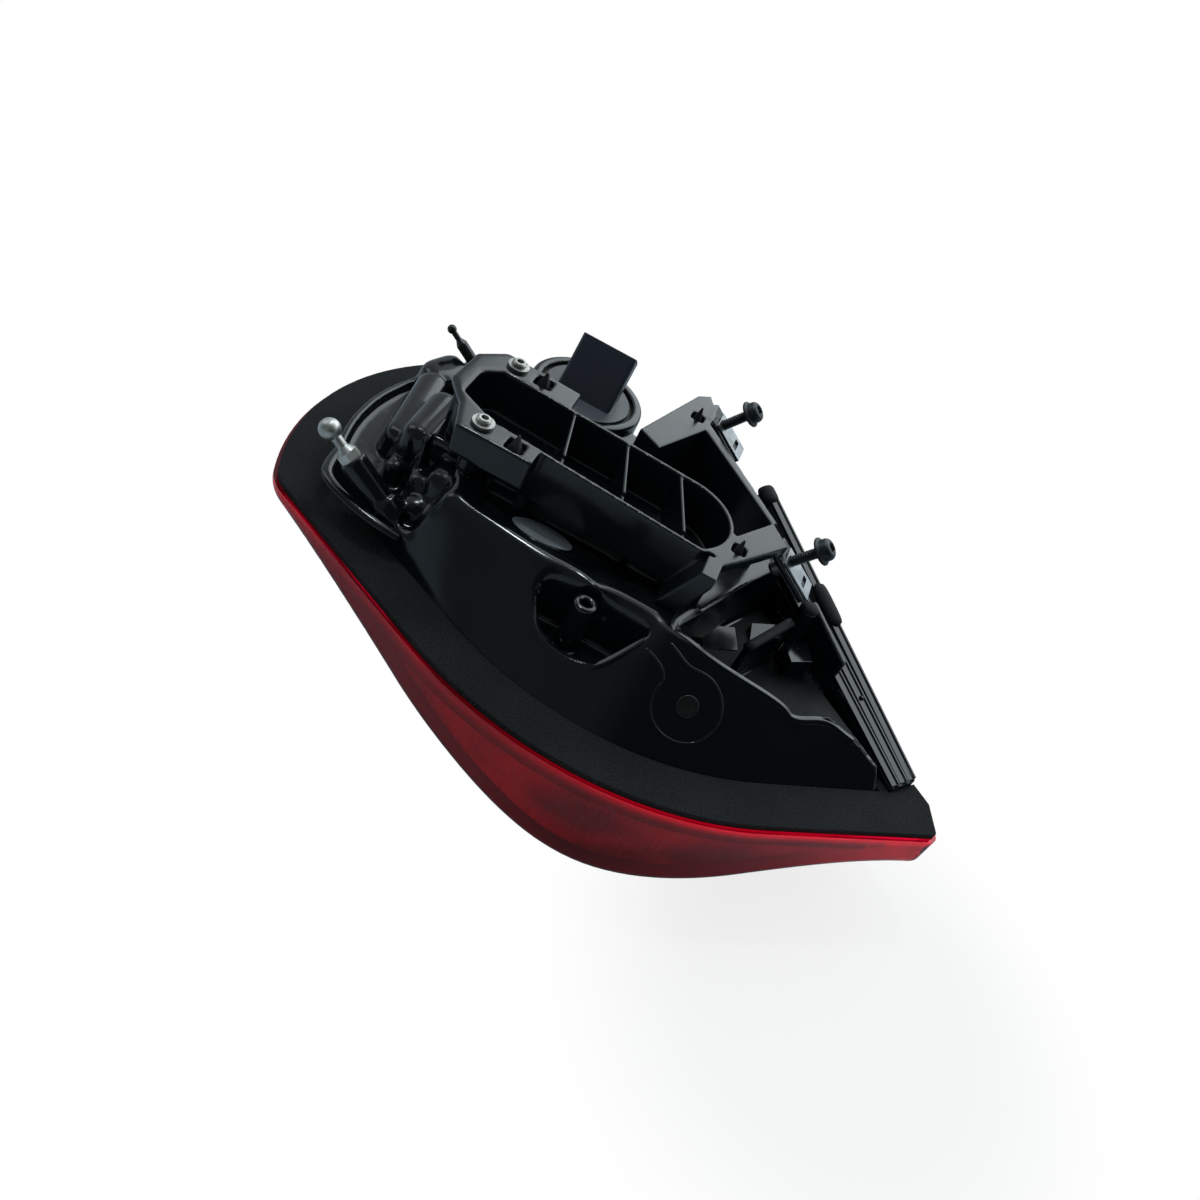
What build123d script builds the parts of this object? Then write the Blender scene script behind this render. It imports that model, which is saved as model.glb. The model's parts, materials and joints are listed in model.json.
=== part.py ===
from build123d import *
from math import sin, cos, tan, sqrt, radians, hypot
import os

os.makedirs("parts", exist_ok=True)

# Lamp outline on the seal plane, z = 0 is the top face of the foam seal
LOW_X = -4.0
LOW_Y = -15.0
NEAR_LEFT_R = 180.0
NEAR_LEFT_TURN = 27.5
NEAR_RIGHT_R = 172.0
NEAR_RIGHT_TURN = 30.5
CORNER_A_X = -181.0
CORNER_B_X = 160.0
CORNER_B_FACE = (-6.0, 18.0)
LEFT_BULGE = (-195.0, 125.0)
CORNER_D = (-168.0, 198.0)
FAR_BULGE = (-70.0, 228.0)
CORNER_C = (21.0, 185.0)
ROUND_A = 24.0
ROUND_B = 4.0
ROUND_C = 10.0
ROUND_D = 34.0

# Stack at the joint between lens, housing and body seal
SEAL_THICK = 3.0
SEAL_WIDTH = 22.0
SEAL_MARGIN = 1.8
FLANGE_THICK = 2.5
FLANGE_MARGIN = 2.0
LIP_GAP = 0.2
FIT = 0.3

# Moulded housing
WALL = 2.5
PLATEAU = 40.0
NEAR_RUN = 37.0
SLOPE_FOOT = 1.0
RIDGE_LEFT_R = 480.0
RIDGE_LEFT_TURN = 8.6
RIDGE_ROUND = 5.0
TRENCH_Y = 55.0
TRENCH_END_Y = 80.0
TRENCH_SPAN = (-96.0, 3.0)
FAR_PLATEAU_Y = 166.0
LOW_FLOOR = 10.0
LOW_END_X = -114.0
LOW_END_LEAN = 9.0
PIER_END_X = -138.0
PIER_Y = 84.0
POCKET = [(-49, 46.5), (-51, 40), (-42.5, 31), (-30, 27), (-19, 27), (-12, 30), (3, 46.5)]
POCKET_FLOOR = 10.0
POCKET_ROUND = 3.0
BOSS_AT = (-30.0, 39.0)
BOSS_R = 5.5
BOSS_DROP = 4.0
BOSS_BORE_R = 2.3
BOSS_BORE_DEPTH = 20.0
BAY = [(9, 49), (30, 48), (64, 54.5), (74, 56), (88, 65), (104, 67.5), (138, 68.5), (150, 75), (60, 160),
       (32, 104)]
BAY_FLOOR = 8.0
BAY_RIB = ((41.5, 69.0), (57.0, 101.0))
BAY_RIB_THICK = 3.4
BAY_RIB_H = 24.0
BAY_POST_AT = (62.0, 109.0)
BAY_POST_R = 4.5
BAY_POST_H = 30.0
GATE_AT = (28.3, 30.7)
GATE_R = 5.0
GATE_LIFT = 0.5

# Rail along the straight edge, rising from corner B to corner C, its strips stepping down to the bay
RAIL_WIDTH = 19.5
RAIL_START = 12.0
RAIL_TOP_C = 45.0
RAIL_STRIPS = 3
RAIL_FALL = 0.14
RAIL_RIDGE = 1.8
RAIL_RIDGE_H = 1.2
RAIL_NOSE = 20.0
RAIL_TAIL = 7.5
FENCE_SPAN = (68.0, 100.0)
FENCE_THICK = 3.0
FENCE_LIFT = 9.0

# Lobes of the left end: centre x and y, length, width, turn, top, edge round
LOBES = [
    (-147.0, 122.0, 66.0, 19.0, 98.0, 27.0, 5.0),
    (-134.0, 104.0, 50.0, 22.0, 92.0, 39.0, 6.0),
    (-122.0, 78.0, 22.0, 15.0, 90.0, 26.0, 5.0),
    (-127.0, 92.0, 36.0, 9.0, 92.0, 48.0, 3.0),
    (-150.0, 165.0, 34.0, 24.0, 70.0, 25.0, 6.0),
    (-114.0, 80.0, 30.0, 16.0, 90.0, 33.0, 4.0),
    (-117.0, 66.0, 18.0, 14.0, 60.0, 20.0, 4.5),
    (-136.0, 84.0, 20.0, 12.0, 80.0, 21.0, 3.5),
]
LOBE_DRAFT = 8.0
RIM_WALL = 4.0
RIM_WALL_H = 4.0
RIM_WALL_SPAN = (-112.0, 40.0)

# Tilt of the body fixings: bolts lean towards +x, ball stud and pin towards -x
FIT_TILT = 35.0

# Ball stud tower and locating pin
TOWER_AT = (-129.0, 58.0)
TOWER_LIFT = 3.0
TOWER_R = 6.2
TOWER_FOOT = 2.0
TOWER_LEN = 25.0
BALL_R = 5.0
STUD_LEN = 16.0
STUD_HEX = 9.0
STUD_BASE = 4.0
STUD_R = 2.5
STUD_TAPER = 3.0
STUD_DEPTH = 12.0
EDGE_SCREW_AT = (-149.0, 70.0)
EDGE_SCREW_R = 1.8
EDGE_SCREW_HEAD = 5.0
EDGE_SCREW_LEN = 8.0
EDGE_BOSS_H = 3.0
PIN_AT = (-142.5, 179.0)
PIN_LIFT = 14.0
PIN_R = 3.0
PIN_SHANK_R = 2.4
PIN_SHANK = 7.0
PIN_SEAT = 14.0
PIN_LEN = 9.0
PIN_NECK_R = 1.5
PIN_TIP_R = 2.4
PIN_TIP_LEN = 9.0
PIN_COLLAR_R = 5.0
PIN_COLLAR = 2.0
PIN_TAPER = 3.0

# Vent
VENT_AT = (-62.0, 70.5)
VENT_DROP = 8.0
VENT_TILT = 23.5
VENT_R = 15.0
VENT_THICK = 0.8
VENT_LIP = 2.0
VENT_LENGTH = 26.0
VENT_BORE_R = 6.0

# Module tray with four cells and its fixing arms
RIM = 65.0
TRAY_WALL = 2.2
TRAY_FLOOR = 3.0
DECK = 5.0
RIB = 1.8
TRAY_LEFT_X = -121.0
TRAY_NEAR_L = (-101.0, 81.0)
TRAY_NEAR_R = (2.0, 72.0)
TRAY_FAR_L = (-113.0, 120.0)
TRAY_FAR_R = (-14.0, 114.0)
TRAY_END_BULGE = (10.0, 93.0)
TRAY_SLANT = 11.0
TRAY_LEFT_CUT = 8.0
RIB_DROP = 0.6
RIB_STEP = 2.0
RIB_END = 9.0
RIBS = [((-76.5, 122), (-67, 76)), ((-48.5, 120), (-36, 73)), ((-20.7, 118), (-5, 69))]
TRAY_DECK = [(-114, 66), (-78, 66), (-78, 90), (-79, 135), (-118, 137), (-129, 124), (-130, 98), (-120, 84)]
TRAY_EDGE = 1.0
TRAY_LONG_EDGE = 30.0
NEAR_BLOCK = 15.0
FAR_BLOCK = (-118.0, -80.0, 134.0)
LEFT_BLOCK = 6.0
FAR_ARM = [(-47, 133), (-35, 126), (-20, 160), (-18, 178), (-25, 193), (-31, 187)]
NEAR_ARM = [(6, 58), (12, 90), (27, 116), (37, 104), (20, 78)]
BAY_WALL = [(-23, 164), (26, 115), (29, 117), (-19, 168)]
ARM_THICK = 5.5
ARM_ROOT = (56.0, 70.0)
ROOT_SPREAD = 11.0
ROOT_THICK = 7.0
WINDOW_GAP = 1.4
WINDOW_DEPTH = 4.0
SPIKE_TIP = 5.5
SPIKE_POINT = 0.7
SPIKES = [(-88.0, 72.5, 7.0), (-96.0, 128.0, 7.0), (17.0, 84.0, 5.0), (-26.0, 168.0, 5.0)]
TRAY_SCREWS = [(-105.0, 75.0), (-110.0, 128.5)]
TRAY_SCREW_R = 2.0
TRAY_SCREW_HEAD = 5.2
TRAY_SCREW_BITE = 6.0
SCREW_BOSS_R = 5.5
SCREW_END_GAP = 2.0
SCREW_WASHER = 1.6
SCREW_TOP = 3.6
SCREW_BEVEL = 0.8
SCREW_CAP = 0.66
SOCKET = 0.36
SOCKET_DEPTH = 1.6

# Fixing bolts with clip nuts
BOLTS = [(-13.0, 180.0, 4.5), (42.0, 108.0, 9.0)]
BOLT_R = 2.6
BOLT_GAP = 0.6
BOLT_REACH = 15.0
BOLT_TAIL = 10.0
BOLT_HEAD_R = 5.2
BOLT_HEAD = 6.0
BOLT_BEVEL = 1.5
BOLT_FLANGE_R = 6.6
BOLT_FLANGE = 1.4
BOLT_PLATE = 3.0
BOLT_PLATE_W = 17.0
BOLT_PLATE_RISE = 9.0
BOLT_PLATE_DROP = 17.0
CLIP = 1.0
CLIP_W = 13.0
CLIP_TOP = 3.5
CLIP_BARREL_R = 4.5
CLIP_BARREL_H = 4.0
CLIP_SLOT = (5.0, 3.0, 8.0)

# Connector
CONN_AT = (-81.0, 173.0)
CONN_RING_R = 30.0
CONN_RING_WALL = 5.0
CONN_RING_H = 5.0
CONN_SEAL = 2.0
CONN_TILT = 35.0
CONN_W = 30.0
CONN_D = 17.0
CONN_H = 27.0
CONN_WALL = 2.2
CONN_FLOOR = 8.0
CONN_STUB = 12.0
CONN_PINS = 6
CONN_PITCH = 3.6
CONN_PIN = 1.0
CONN_PIN_UP = 7.0
CONN_PIN_DOWN = 4.0
CONN_STUB_D = 7.6
CONN_BASE = 4.0
CONN_CORNER = 2.0
CONN_EDGE = 2.0

# Lens shell
LENS_WALL = 3.0
LENS_REACH = 15.0
LENS_LEFT_Z = -10.0
LENS_SHOULDER = (-110.0, -23.0)
LENS_MID = (-50.0, -38.5)
LENS_LOW = (18.0, -55.5)
LENS_FALL = (75.0, -43.0)
LENS_HEEL = (115.0, -29.5)
LENS_RIGHT_Z = -27.0
LENS_ROUND = 7.0

# Light unit between lens and housing
BEZEL_MARGIN = 14.0
BEZEL_THICK = 1.8
CUPS = [(-84, 84), (-60, 100), (-36, 84), (-12, 100), (-84, 124), (-36, 124)]
CUP_R = 11.0
CUP_TOP_R = 5.5
CUP_WALL = 1.0
BOARD = [(-98, 66), (-2, 62), (-2, 140), (-60, 152), (-98, 152)]
BOARD_Z = 12.0
BOARD_THICK = 1.6
BOARD_POSTS = [(-94, 70), (-6, 66), (-6, 136), (-94, 146)]
BOARD_POST_R = 3.0
LED = 3.5
LED_H = 1.4
SINK_BASE = 3.0
SINK_H = 18.0
SINK_FIN = 2.0
SINK_FINS = 6
SINK_PITCH = 9.6
SINK_AT = (-40.0, 116.0)
SINK_LENGTH = 44.0
HEADER_D = 8.0
HEADER_H = 8.0
HEADER_EDGE = 2.0
RIBBON_THICK = 1.2
GUIDE_IN = 17.0
GUIDE_W = 4.0
GUIDE_ENDS = (61.0, 20.0, 20.0)
OPTIC_IN = 4.0
OPTIC_W = 2.0
OPTIC_H = 9.0
OPTIC_ENDS = (51.0, 31.0, 12.0)

# Working sizes for cutting bodies that reach past the lamp
FAR = 300.0
OVER = 1.0


# Near edge: an arc from the lowest point, then its tangent out to x
def near_run(base, radius, turn, side, x):
    low_point = (LOW_X, base)
    ends = []
    for angle in (radians(turn / 2), radians(turn)):
        ends.append((LOW_X + side * radius * sin(angle), base + radius * (1 - cos(angle))))
    tip = (x, ends[1][1] + abs(x - ends[1][0]) * tan(radians(turn)))
    return ThreePointArc(low_point, *ends), Line(ends[1], tip), tip


# Derived levels and directions
flange_top = -SEAL_THICK
flange_low = flange_top - FLANGE_THICK
seal_in = SEAL_MARGIN + SEAL_WIDTH
left_arc, left_line, corner_a = near_run(LOW_Y, NEAR_LEFT_R, NEAR_LEFT_TURN, -1, CORNER_A_X)
right_arc, right_line, corner_b = near_run(LOW_Y, NEAR_RIGHT_R, NEAR_RIGHT_TURN, 1, CORNER_B_X)
edge_end = (corner_b[0] + CORNER_B_FACE[0], corner_b[1] + CORNER_B_FACE[1])
slope_stretch = hypot(PLATEAU - flange_top, NEAR_RUN) / (PLATEAU - flange_top)
fit = radians(FIT_TILT)
bolt_dir = Vector(sin(fit), 0, cos(fit))
stud_dir = Vector(-cos(fit), 0, sin(fit))
edge_len = hypot(CORNER_C[0] - edge_end[0], CORNER_C[1] - edge_end[1])
edge_dir = Vector((CORNER_C[0] - edge_end[0]) / edge_len, (CORNER_C[1] - edge_end[1]) / edge_len, 0)
edge_in = Vector(-edge_dir.Y, edge_dir.X, 0)
MID_LOW = (Align.CENTER, Align.CENTER, Align.MIN)


def polygon(points):
    return make_face(Polyline(*points, close=True))


def slab(face, z0, z1):
    return extrude(Pos(0, 0, z0) * face, amount=z1 - z0)


def prism(points, z0, z1):
    return slab(polygon(points), z0, z1)


def block(x0, x1, y0, y1, z0, z1):
    return Pos((x0 + x1) / 2, (y0 + y1) / 2, (z0 + z1) / 2) * Box(x1 - x0, y1 - y0, z1 - z0)


def post(at, radius, z0, z1):
    return Pos(at[0], at[1], z0) * Cylinder(radius, z1 - z0, align=MID_LOW)


def rod(start, axis, radius, length):
    return Plane(origin=start, z_dir=axis) * Cylinder(radius, length, align=MID_LOW)


def corner(face, point, radius):
    return fillet(face.vertices().sort_by_distance((point[0], point[1], 0))[0], radius)


def make_outline():
    edges = Curve() + [
        left_line,
        left_arc,
        right_arc,
        right_line,
        Polyline(corner_b, edge_end, CORNER_C),
        ThreePointArc(CORNER_C, FAR_BULGE, CORNER_D),
        ThreePointArc(CORNER_D, LEFT_BULGE, corner_a),
    ]
    face = make_face(edges)
    face = corner(face, corner_a, ROUND_A)
    face = corner(face, corner_b, ROUND_B)
    face = corner(face, CORNER_C, ROUND_C)
    return corner(face, CORNER_D, ROUND_D)


outline = make_outline()


def inset(amount):
    return offset(outline, amount=-amount, kind=Kind.ARC)


# Moulded housing: sloping near wall, plateau, low left end, side pocket, right bay and vent seat
def slope_section(step, left_r, left_turn, right_r):
    base = LOW_Y + step
    arc_l, line_l, tip_l = near_run(base, left_r, left_turn, -1, -FAR)
    arc_r, line_r, tip_r = near_run(base, right_r, NEAR_RIGHT_TURN, 1, FAR)
    back = Polyline(tip_r, (FAR, 2 * FAR), (-FAR, 2 * FAR), tip_l)
    return make_face(Curve() + [line_l, arc_l, arc_r, line_r, back])


vent_turn = radians(VENT_TILT)
vent_plane = Plane(
    origin=(*VENT_AT, PLATEAU - VENT_DROP), x_dir=(1, 0, 0), z_dir=(0, sin(vent_turn), cos(vent_turn)))
vent_slot_r = VENT_R + VENT_LIP


def vent_seat(grow):
    return Pos(VENT_LENGTH / 2, 0) * SlotCenterToCenter(VENT_LENGTH, 2 * (vent_slot_r + grow))


def low_end_cut(grow):
    floor = LOW_FLOOR - grow
    top = PLATEAU + OVER

    def wedge(x, y0, y1):
        face = polygon([(-FAR, floor), (x + grow, floor), (x + grow + LOW_END_LEAN, top), (-FAR, top)])
        return Pos(0, y1, 0) * extrude(Plane.XZ * face, amount=y1 - y0)

    return wedge(LOW_END_X, -FAR, PIER_Y + grow) + wedge(PIER_END_X, PIER_Y - OVER, FAR)


def far_cut(grow):
    drop = PLATEAU - flange_top
    y = FAR_PLATEAU_Y - sqrt(2) * grow
    high = PLATEAU + drop
    face = polygon([(y - drop, high), (FAR, high), (FAR, flange_top), (y + drop, flange_top)])
    return Pos(-FAR, 0, 0) * extrude(Plane.YZ * face, amount=2 * FAR)


def trench(grow):
    lift = OVER + grow / cos(vent_turn)
    fall = (TRENCH_END_Y + grow - TRENCH_Y) * tan(vent_turn)
    top = PLATEAU + OVER
    y1 = TRENCH_END_Y + grow
    face = polygon([(TRENCH_Y - lift / tan(vent_turn), top), (y1, top - lift - fall), (y1, top)])
    x0 = TRENCH_SPAN[0] - grow
    return Pos(x0, 0, 0) * extrude(Plane.YZ * face, amount=TRENCH_SPAN[1] + grow - x0)


def grown(points, grow):
    face = polygon(points)
    return offset(face, amount=grow, kind=Kind.ARC) if grow else face


def housing_form(grow):
    step = seal_in - SLOPE_FOOT + slope_stretch * grow
    floor = flange_low - OVER if grow else flange_top
    low_face = slope_section(step, NEAR_LEFT_R - step, NEAR_LEFT_TURN, NEAR_RIGHT_R - step)
    ridge = step + NEAR_RUN
    high_face = slope_section(ridge, RIDGE_LEFT_R, RIDGE_LEFT_TURN, NEAR_RIGHT_R - ridge)
    form = loft([Pos(0, 0, flange_top) * low_face, Pos(0, 0, PLATEAU) * high_face], ruled=True)
    if grow:
        form = form + slab(low_face, floor, flange_top)
    else:
        top_edges = form.edges().filter_by_position(Axis.Z, PLATEAU - FIT, PLATEAU + FIT)
        form = fillet(top_edges.filter_by(GeomType.CIRCLE), RIDGE_ROUND)
    form = form & slab(inset(seal_in + grow), floor, PLATEAU - grow)
    if not grow:
        form = form + vent_plane * extrude(vent_seat(0), amount=-BOSS_BORE_DEPTH)
    form = form - low_end_cut(grow) - far_cut(grow) - trench(grow)
    pocket = grown(POCKET, grow) if grow else fillet(polygon(POCKET).vertices(), POCKET_ROUND)
    form = form - slab(pocket, POCKET_FLOOR - grow, RIM)
    form = form - slab(grown(BAY, grow), BAY_FLOOR - grow, RIM)
    return form - vent_plane.offset(-grow) * extrude(vent_seat(grow), amount=PLATEAU)


outer_form = housing_form(0)
inner_form = housing_form(WALL)
flange = slab(inset(FLANGE_MARGIN), flange_low, flange_top)

# Stepped rail, each strip with a ridge along its outer side
rail_plane = Plane(origin=Vector(*edge_end, 0), x_dir=edge_dir, z_dir=edge_in * -1)
rail_end = edge_len - ROUND_C / 2
rail_rise = RAIL_TOP_C / edge_len


def rail_wedge(inner0, inner1, lift, start, end, base, share=1):
    high0 = share * rail_rise * start + lift
    high1 = share * rail_rise * end + lift
    face = polygon([(start, base), (end, base), (end, high1), (start, high0)])
    return rail_plane.offset(-inner0) * extrude(face, amount=inner0 - inner1)


rail_in = FLANGE_MARGIN + OVER
rail_strip = (RAIL_WIDTH - rail_in) / RAIL_STRIPS
hollow_span = (RAIL_START + RAIL_NOSE, rail_end - RAIL_TAIL)
hollow_low = flange_low - OVER
rail = Part()
rail_hollow = Part()
for k in range(RAIL_STRIPS):
    in0 = rail_in + rail_strip * k
    in1 = in0 + rail_strip
    share = 1 - RAIL_FALL * k
    hollow_in = in0 - WALL if k else in0 + WALL
    rail = rail + rail_wedge(in0, in1, 0, RAIL_START, rail_end, flange_low, share)
    rail = rail + rail_wedge(in0, in0 + RAIL_RIDGE, RAIL_RIDGE_H, RAIL_START, rail_end, flange_low, share)
    rail_hollow = rail_hollow + rail_wedge(hollow_in, in1 - WALL, -WALL, *hollow_span, hollow_low, share)
rail = rail & slab(inset(FLANGE_MARGIN), flange_low, RIM)


# Rounded lobes of the left end, inside a low rim wall
def lobe(x, y, length, width, turn, top, round_r):
    z0 = LOW_FLOOR - OVER
    foot = Rot(0, 0, turn) * SlotOverall(length, width)
    solid = Pos(x, y, z0) * extrude(foot, amount=top - z0, taper=LOBE_DRAFT)
    return fillet(solid.faces().sort_by(Axis.Z)[-1].edges(), round_r)


lobes = Part()
for values in LOBES:
    lobes = lobes + lobe(*values)
seal_hole = slab(inset(seal_in), flange_top, RIM)
rim_wall = slab(inset(seal_in), flange_top, LOW_FLOOR + RIM_WALL_H)
rim_wall = rim_wall - slab(inset(seal_in + RIM_WALL), flange_top, RIM)
rim_wall = rim_wall & block(-FAR, RIM_WALL_SPAN[0], RIM_WALL_SPAN[1], FAR, flange_top, RIM)

# Bosses: ball stud tower, pocket boss, edge screw boss, pin seat, and the rib, post and fence in the bay
tower_base = Vector(*TOWER_AT, LOW_FLOOR + TOWER_LIFT)
tower_top = tower_base + stud_dir * TOWER_LEN
tower = rod(tower_base - stud_dir * TOWER_LIFT, stud_dir, TOWER_R, TOWER_LEN + TOWER_LIFT)
tower = tower + rod(tower_base - stud_dir * 2 * TOWER_LIFT, stud_dir, TOWER_R + TOWER_FOOT, 3 * TOWER_LIFT)
tower_bore = rod(tower_top - stud_dir * STUD_DEPTH, stud_dir, STUD_R, STUD_DEPTH + OVER)
boss_top = PLATEAU - BOSS_DROP
boss = post(BOSS_AT, BOSS_R, POCKET_FLOOR - OVER, boss_top)
boss_bore = post(BOSS_AT, BOSS_BORE_R, boss_top - BOSS_BORE_DEPTH, boss_top + OVER)
edge_top = LOW_FLOOR + EDGE_BOSS_H
edge_boss = post(EDGE_SCREW_AT, EDGE_SCREW_HEAD, flange_top, edge_top) & seal_hole
edge_room = post(EDGE_SCREW_AT, EDGE_SCREW_HEAD + FIT, edge_top, RIM)
edge_bore = post(EDGE_SCREW_AT, EDGE_SCREW_R, edge_top - EDGE_SCREW_LEN - OVER, edge_top + OVER)
pin_plane = Plane(origin=(*PIN_AT, LOW_FLOOR + PIN_LIFT), z_dir=stud_dir)
pin_seat = pin_plane * (Pos(0, 0, -PIN_SEAT) * Cylinder(PIN_COLLAR_R + WALL, PIN_SEAT, align=MID_LOW))
pin_hole = PIN_SHANK + OVER
pin_bore = pin_plane * (Pos(0, 0, -pin_hole) * Cylinder(PIN_SHANK_R, pin_hole + OVER, align=MID_LOW))
pin_room = pin_plane * Cylinder(PIN_COLLAR_R + FIT, PIN_SEAT + PIN_LEN, align=MID_LOW)
rib_dir = (Vector(*BAY_RIB[1]) - Vector(*BAY_RIB[0])).normalized()
rib_side = Vector(-rib_dir.Y, rib_dir.X) * (BAY_RIB_THICK / 2)
rib_near = Vector(*BAY_RIB[0])
rib_far = Vector(*BAY_RIB[1])
rib_outline = [rib_near - rib_side, rib_far - rib_side, rib_far + rib_side, rib_near + rib_side]
bay_rib = prism(rib_outline, BAY_FLOOR - OVER, BAY_FLOOR + BAY_RIB_H)
bay_rib = bay_rib + post(BAY_POST_AT, BAY_POST_R, BAY_FLOOR - OVER, BAY_FLOOR + BAY_POST_H)
fence_in = RAIL_WIDTH + FENCE_THICK
bay_rib = bay_rib + rail_wedge(RAIL_WIDTH - OVER, fence_in, FENCE_LIFT, *FENCE_SPAN, BAY_FLOOR - OVER)

# Connector turret with its ring wall and the slot for the connector's stub
conn_r = CONN_RING_R - CONN_RING_WALL
turret = post(CONN_AT, CONN_RING_R, flange_top, PLATEAU + CONN_RING_H)
turret = fillet(turret.faces().sort_by(Axis.Z)[-1].edges(), CONN_EDGE) & seal_hole
turret_core = post(CONN_AT, CONN_RING_R - WALL, flange_low - OVER, PLATEAU - WALL)
turret_core = turret_core & slab(inset(seal_in + WALL), flange_low - OVER, RIM)
conn_turn = radians(CONN_TILT)
conn_plane = Plane(
    origin=(*CONN_AT, PLATEAU + CONN_SEAL), x_dir=(1, 0, 0), z_dir=(0, sin(conn_turn), cos(conn_turn)))
stub_w = CONN_PITCH * CONN_PINS
stub_hole = Box(stub_w + 2 * FIT, CONN_STUB_D + 2 * FIT, 2 * CONN_STUB)
stub_hole = conn_plane * (Pos(0, 0, -CONN_STUB) * stub_hole)

# Tray screw holes, vent seat bore and the round gate mark on the near wall
screw_floor = PLATEAU - TRAY_SCREW_BITE - SCREW_END_GAP
screw_holes = [post(at, TRAY_SCREW_R, screw_floor, PLATEAU + OVER) for at in TRAY_SCREWS]
vent_bore = vent_plane * (Pos(0, 0, -VENT_LENGTH) * Cylinder(VENT_BORE_R, VENT_LENGTH, align=MID_LOW))
vent_bed = vent_plane * (Pos(0, 0, -VENT_THICK) * Cylinder(VENT_R, VENT_THICK + OVER, align=MID_LOW))
gate_r = NEAR_RIGHT_R - seal_in
gate_arm = Vector(GATE_AT[0] - LOW_X, GATE_AT[1] - LOW_Y - NEAR_RIGHT_R)
gate_out = gate_arm.normalized()
gate_rise = (PLATEAU - flange_top) / NEAR_RUN
gate_z = flange_top + (gate_r - gate_arm.length) * gate_rise
gate_dir = Vector(gate_out.X * gate_rise, gate_out.Y * gate_rise, 1).normalized()
gate = rod(Vector(*GATE_AT, gate_z) - gate_dir * OVER, gate_dir, GATE_R, OVER + GATE_LIFT)

housing = outer_form + flange + rail + lobes + rim_wall + tower + boss + edge_boss
housing = housing + turret + pin_seat + gate + bay_rib
housing = housing + post(TRAY_SCREWS[0], SCREW_BOSS_R, LOW_FLOOR - OVER, PLATEAU)
housing = housing - inner_form - rail_hollow - turret_core
housing = housing - post(CONN_AT, conn_r, PLATEAU, RIM) - stub_hole - pin_room - edge_room
housing = housing - tower_bore - boss_bore - edge_bore - pin_bore - screw_holes - vent_bore - vent_bed

# Foam seal round the three sides that meet the car body
seal = slab(inset(SEAL_MARGIN), flange_top, 0) - slab(inset(seal_in), flange_top, 0)
seal = seal - rail_wedge(-RAIL_WIDTH, RAIL_WIDTH, RAIL_TOP_C, RAIL_START, edge_len + RAIL_WIDTH, flange_low)


# Lens shell with a lip round the housing flange
def lens_profile(lift):
    left = LEFT_BULGE[0] - LENS_REACH
    right = CORNER_B_X + LENS_REACH
    knots = [(left, LENS_LEFT_Z), LENS_SHOULDER, LENS_MID, LENS_LOW, LENS_FALL, LENS_HEEL]
    points = [(x, z + lift) for x, z in knots + [(right, LENS_RIGHT_Z)]]
    top = Polyline(points[-1], (right, flange_low), (left, flange_low), points[0])
    edges = Curve() + [Spline(*points), top]
    return Pos(0, FAR, 0) * extrude(Plane.XZ * make_face(edges), amount=2 * FAR)


lens_deep = 2 * LENS_LOW[1]
lens = slab(outline, lens_deep, flange_low) & lens_profile(0)
lens = fillet(lens.faces().sort_by(Axis.Z)[0].edges(), LENS_ROUND)
lens = lens - (slab(inset(LENS_WALL), lens_deep, flange_low) & lens_profile(LENS_WALL))
lens = lens + slab(outline, flange_low, flange_top) - slab(inset(FLANGE_MARGIN - LIP_GAP), flange_low, 0)

# Module tray: four open cells, screw decks, two arms, bay wall and bolt plates
far_top = (TRAY_LEFT_X, TRAY_FAR_L[1] - TRAY_LEFT_CUT)
near_top = (TRAY_LEFT_X, TRAY_NEAR_L[1] + TRAY_SLANT)
cell_edges = Curve() + [
    Line(TRAY_NEAR_L, TRAY_NEAR_R),
    ThreePointArc(TRAY_NEAR_R, TRAY_END_BULGE, TRAY_FAR_R),
    Polyline(TRAY_FAR_R, TRAY_FAR_L, far_top, near_top, TRAY_NEAR_L),
]
cells = make_face(cell_edges)
cell_space = slab(cells, PLATEAU + TRAY_FLOOR, RIM + OVER)
ribs = Part()
for far_end, near_end in RIBS:
    length = hypot(far_end[0] - near_end[0], far_end[1] - near_end[1])
    along = Vector(near_end[0] - far_end[0], near_end[1] - far_end[1], 0) / length
    rib_plane = Plane(origin=Vector(*far_end, PLATEAU + OVER), x_dir=along, z_dir=(along.Y, -along.X, 0))
    high = RIM - RIB_DROP - PLATEAU - OVER
    step = high - RIB_STEP
    notch = length - RIB_END
    rib_face = polygon([(0, 0), (length, 0), (length, step), (notch, step), (notch, high), (0, high)])
    ribs = ribs + rib_plane * extrude(rib_face, amount=RIB / 2, both=True)
tray = slab(offset(cells, amount=TRAY_WALL, kind=Kind.ARC), PLATEAU, RIM)
deck_left, deck_near = TRAY_DECK[0]
deck_right = TRAY_DECK[1][0]
tray = tray + prism(TRAY_DECK, RIM - DECK, RIM)
tray = tray + block(deck_left, deck_right, deck_near, TRAY_NEAR_L[1] + TRAY_WALL, RIM - NEAR_BLOCK, RIM)
tray = tray + block(FAR_BLOCK[0], FAR_BLOCK[1], TRAY_FAR_L[1], FAR_BLOCK[2], PLATEAU, RIM)
left_y = near_top[1] + TRAY_SLANT / 2
tray = tray + block(TRAY_LEFT_X - LEFT_BLOCK, TRAY_LEFT_X, left_y, far_top[1], PLATEAU, RIM)
rim_edges = tray.edges().filter_by_position(Axis.Z, RIM - FIT, RIM + FIT)
deck_edges = rim_edges.filter_by(lambda e: e.length > TRAY_LONG_EDGE and e.center().X < deck_right + DECK)
tray = fillet(deck_edges, TRAY_EDGE)
tray = tray + post(TRAY_SCREWS[0], SCREW_BOSS_R, PLATEAU, RIM - NEAR_BLOCK + OVER)

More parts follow.
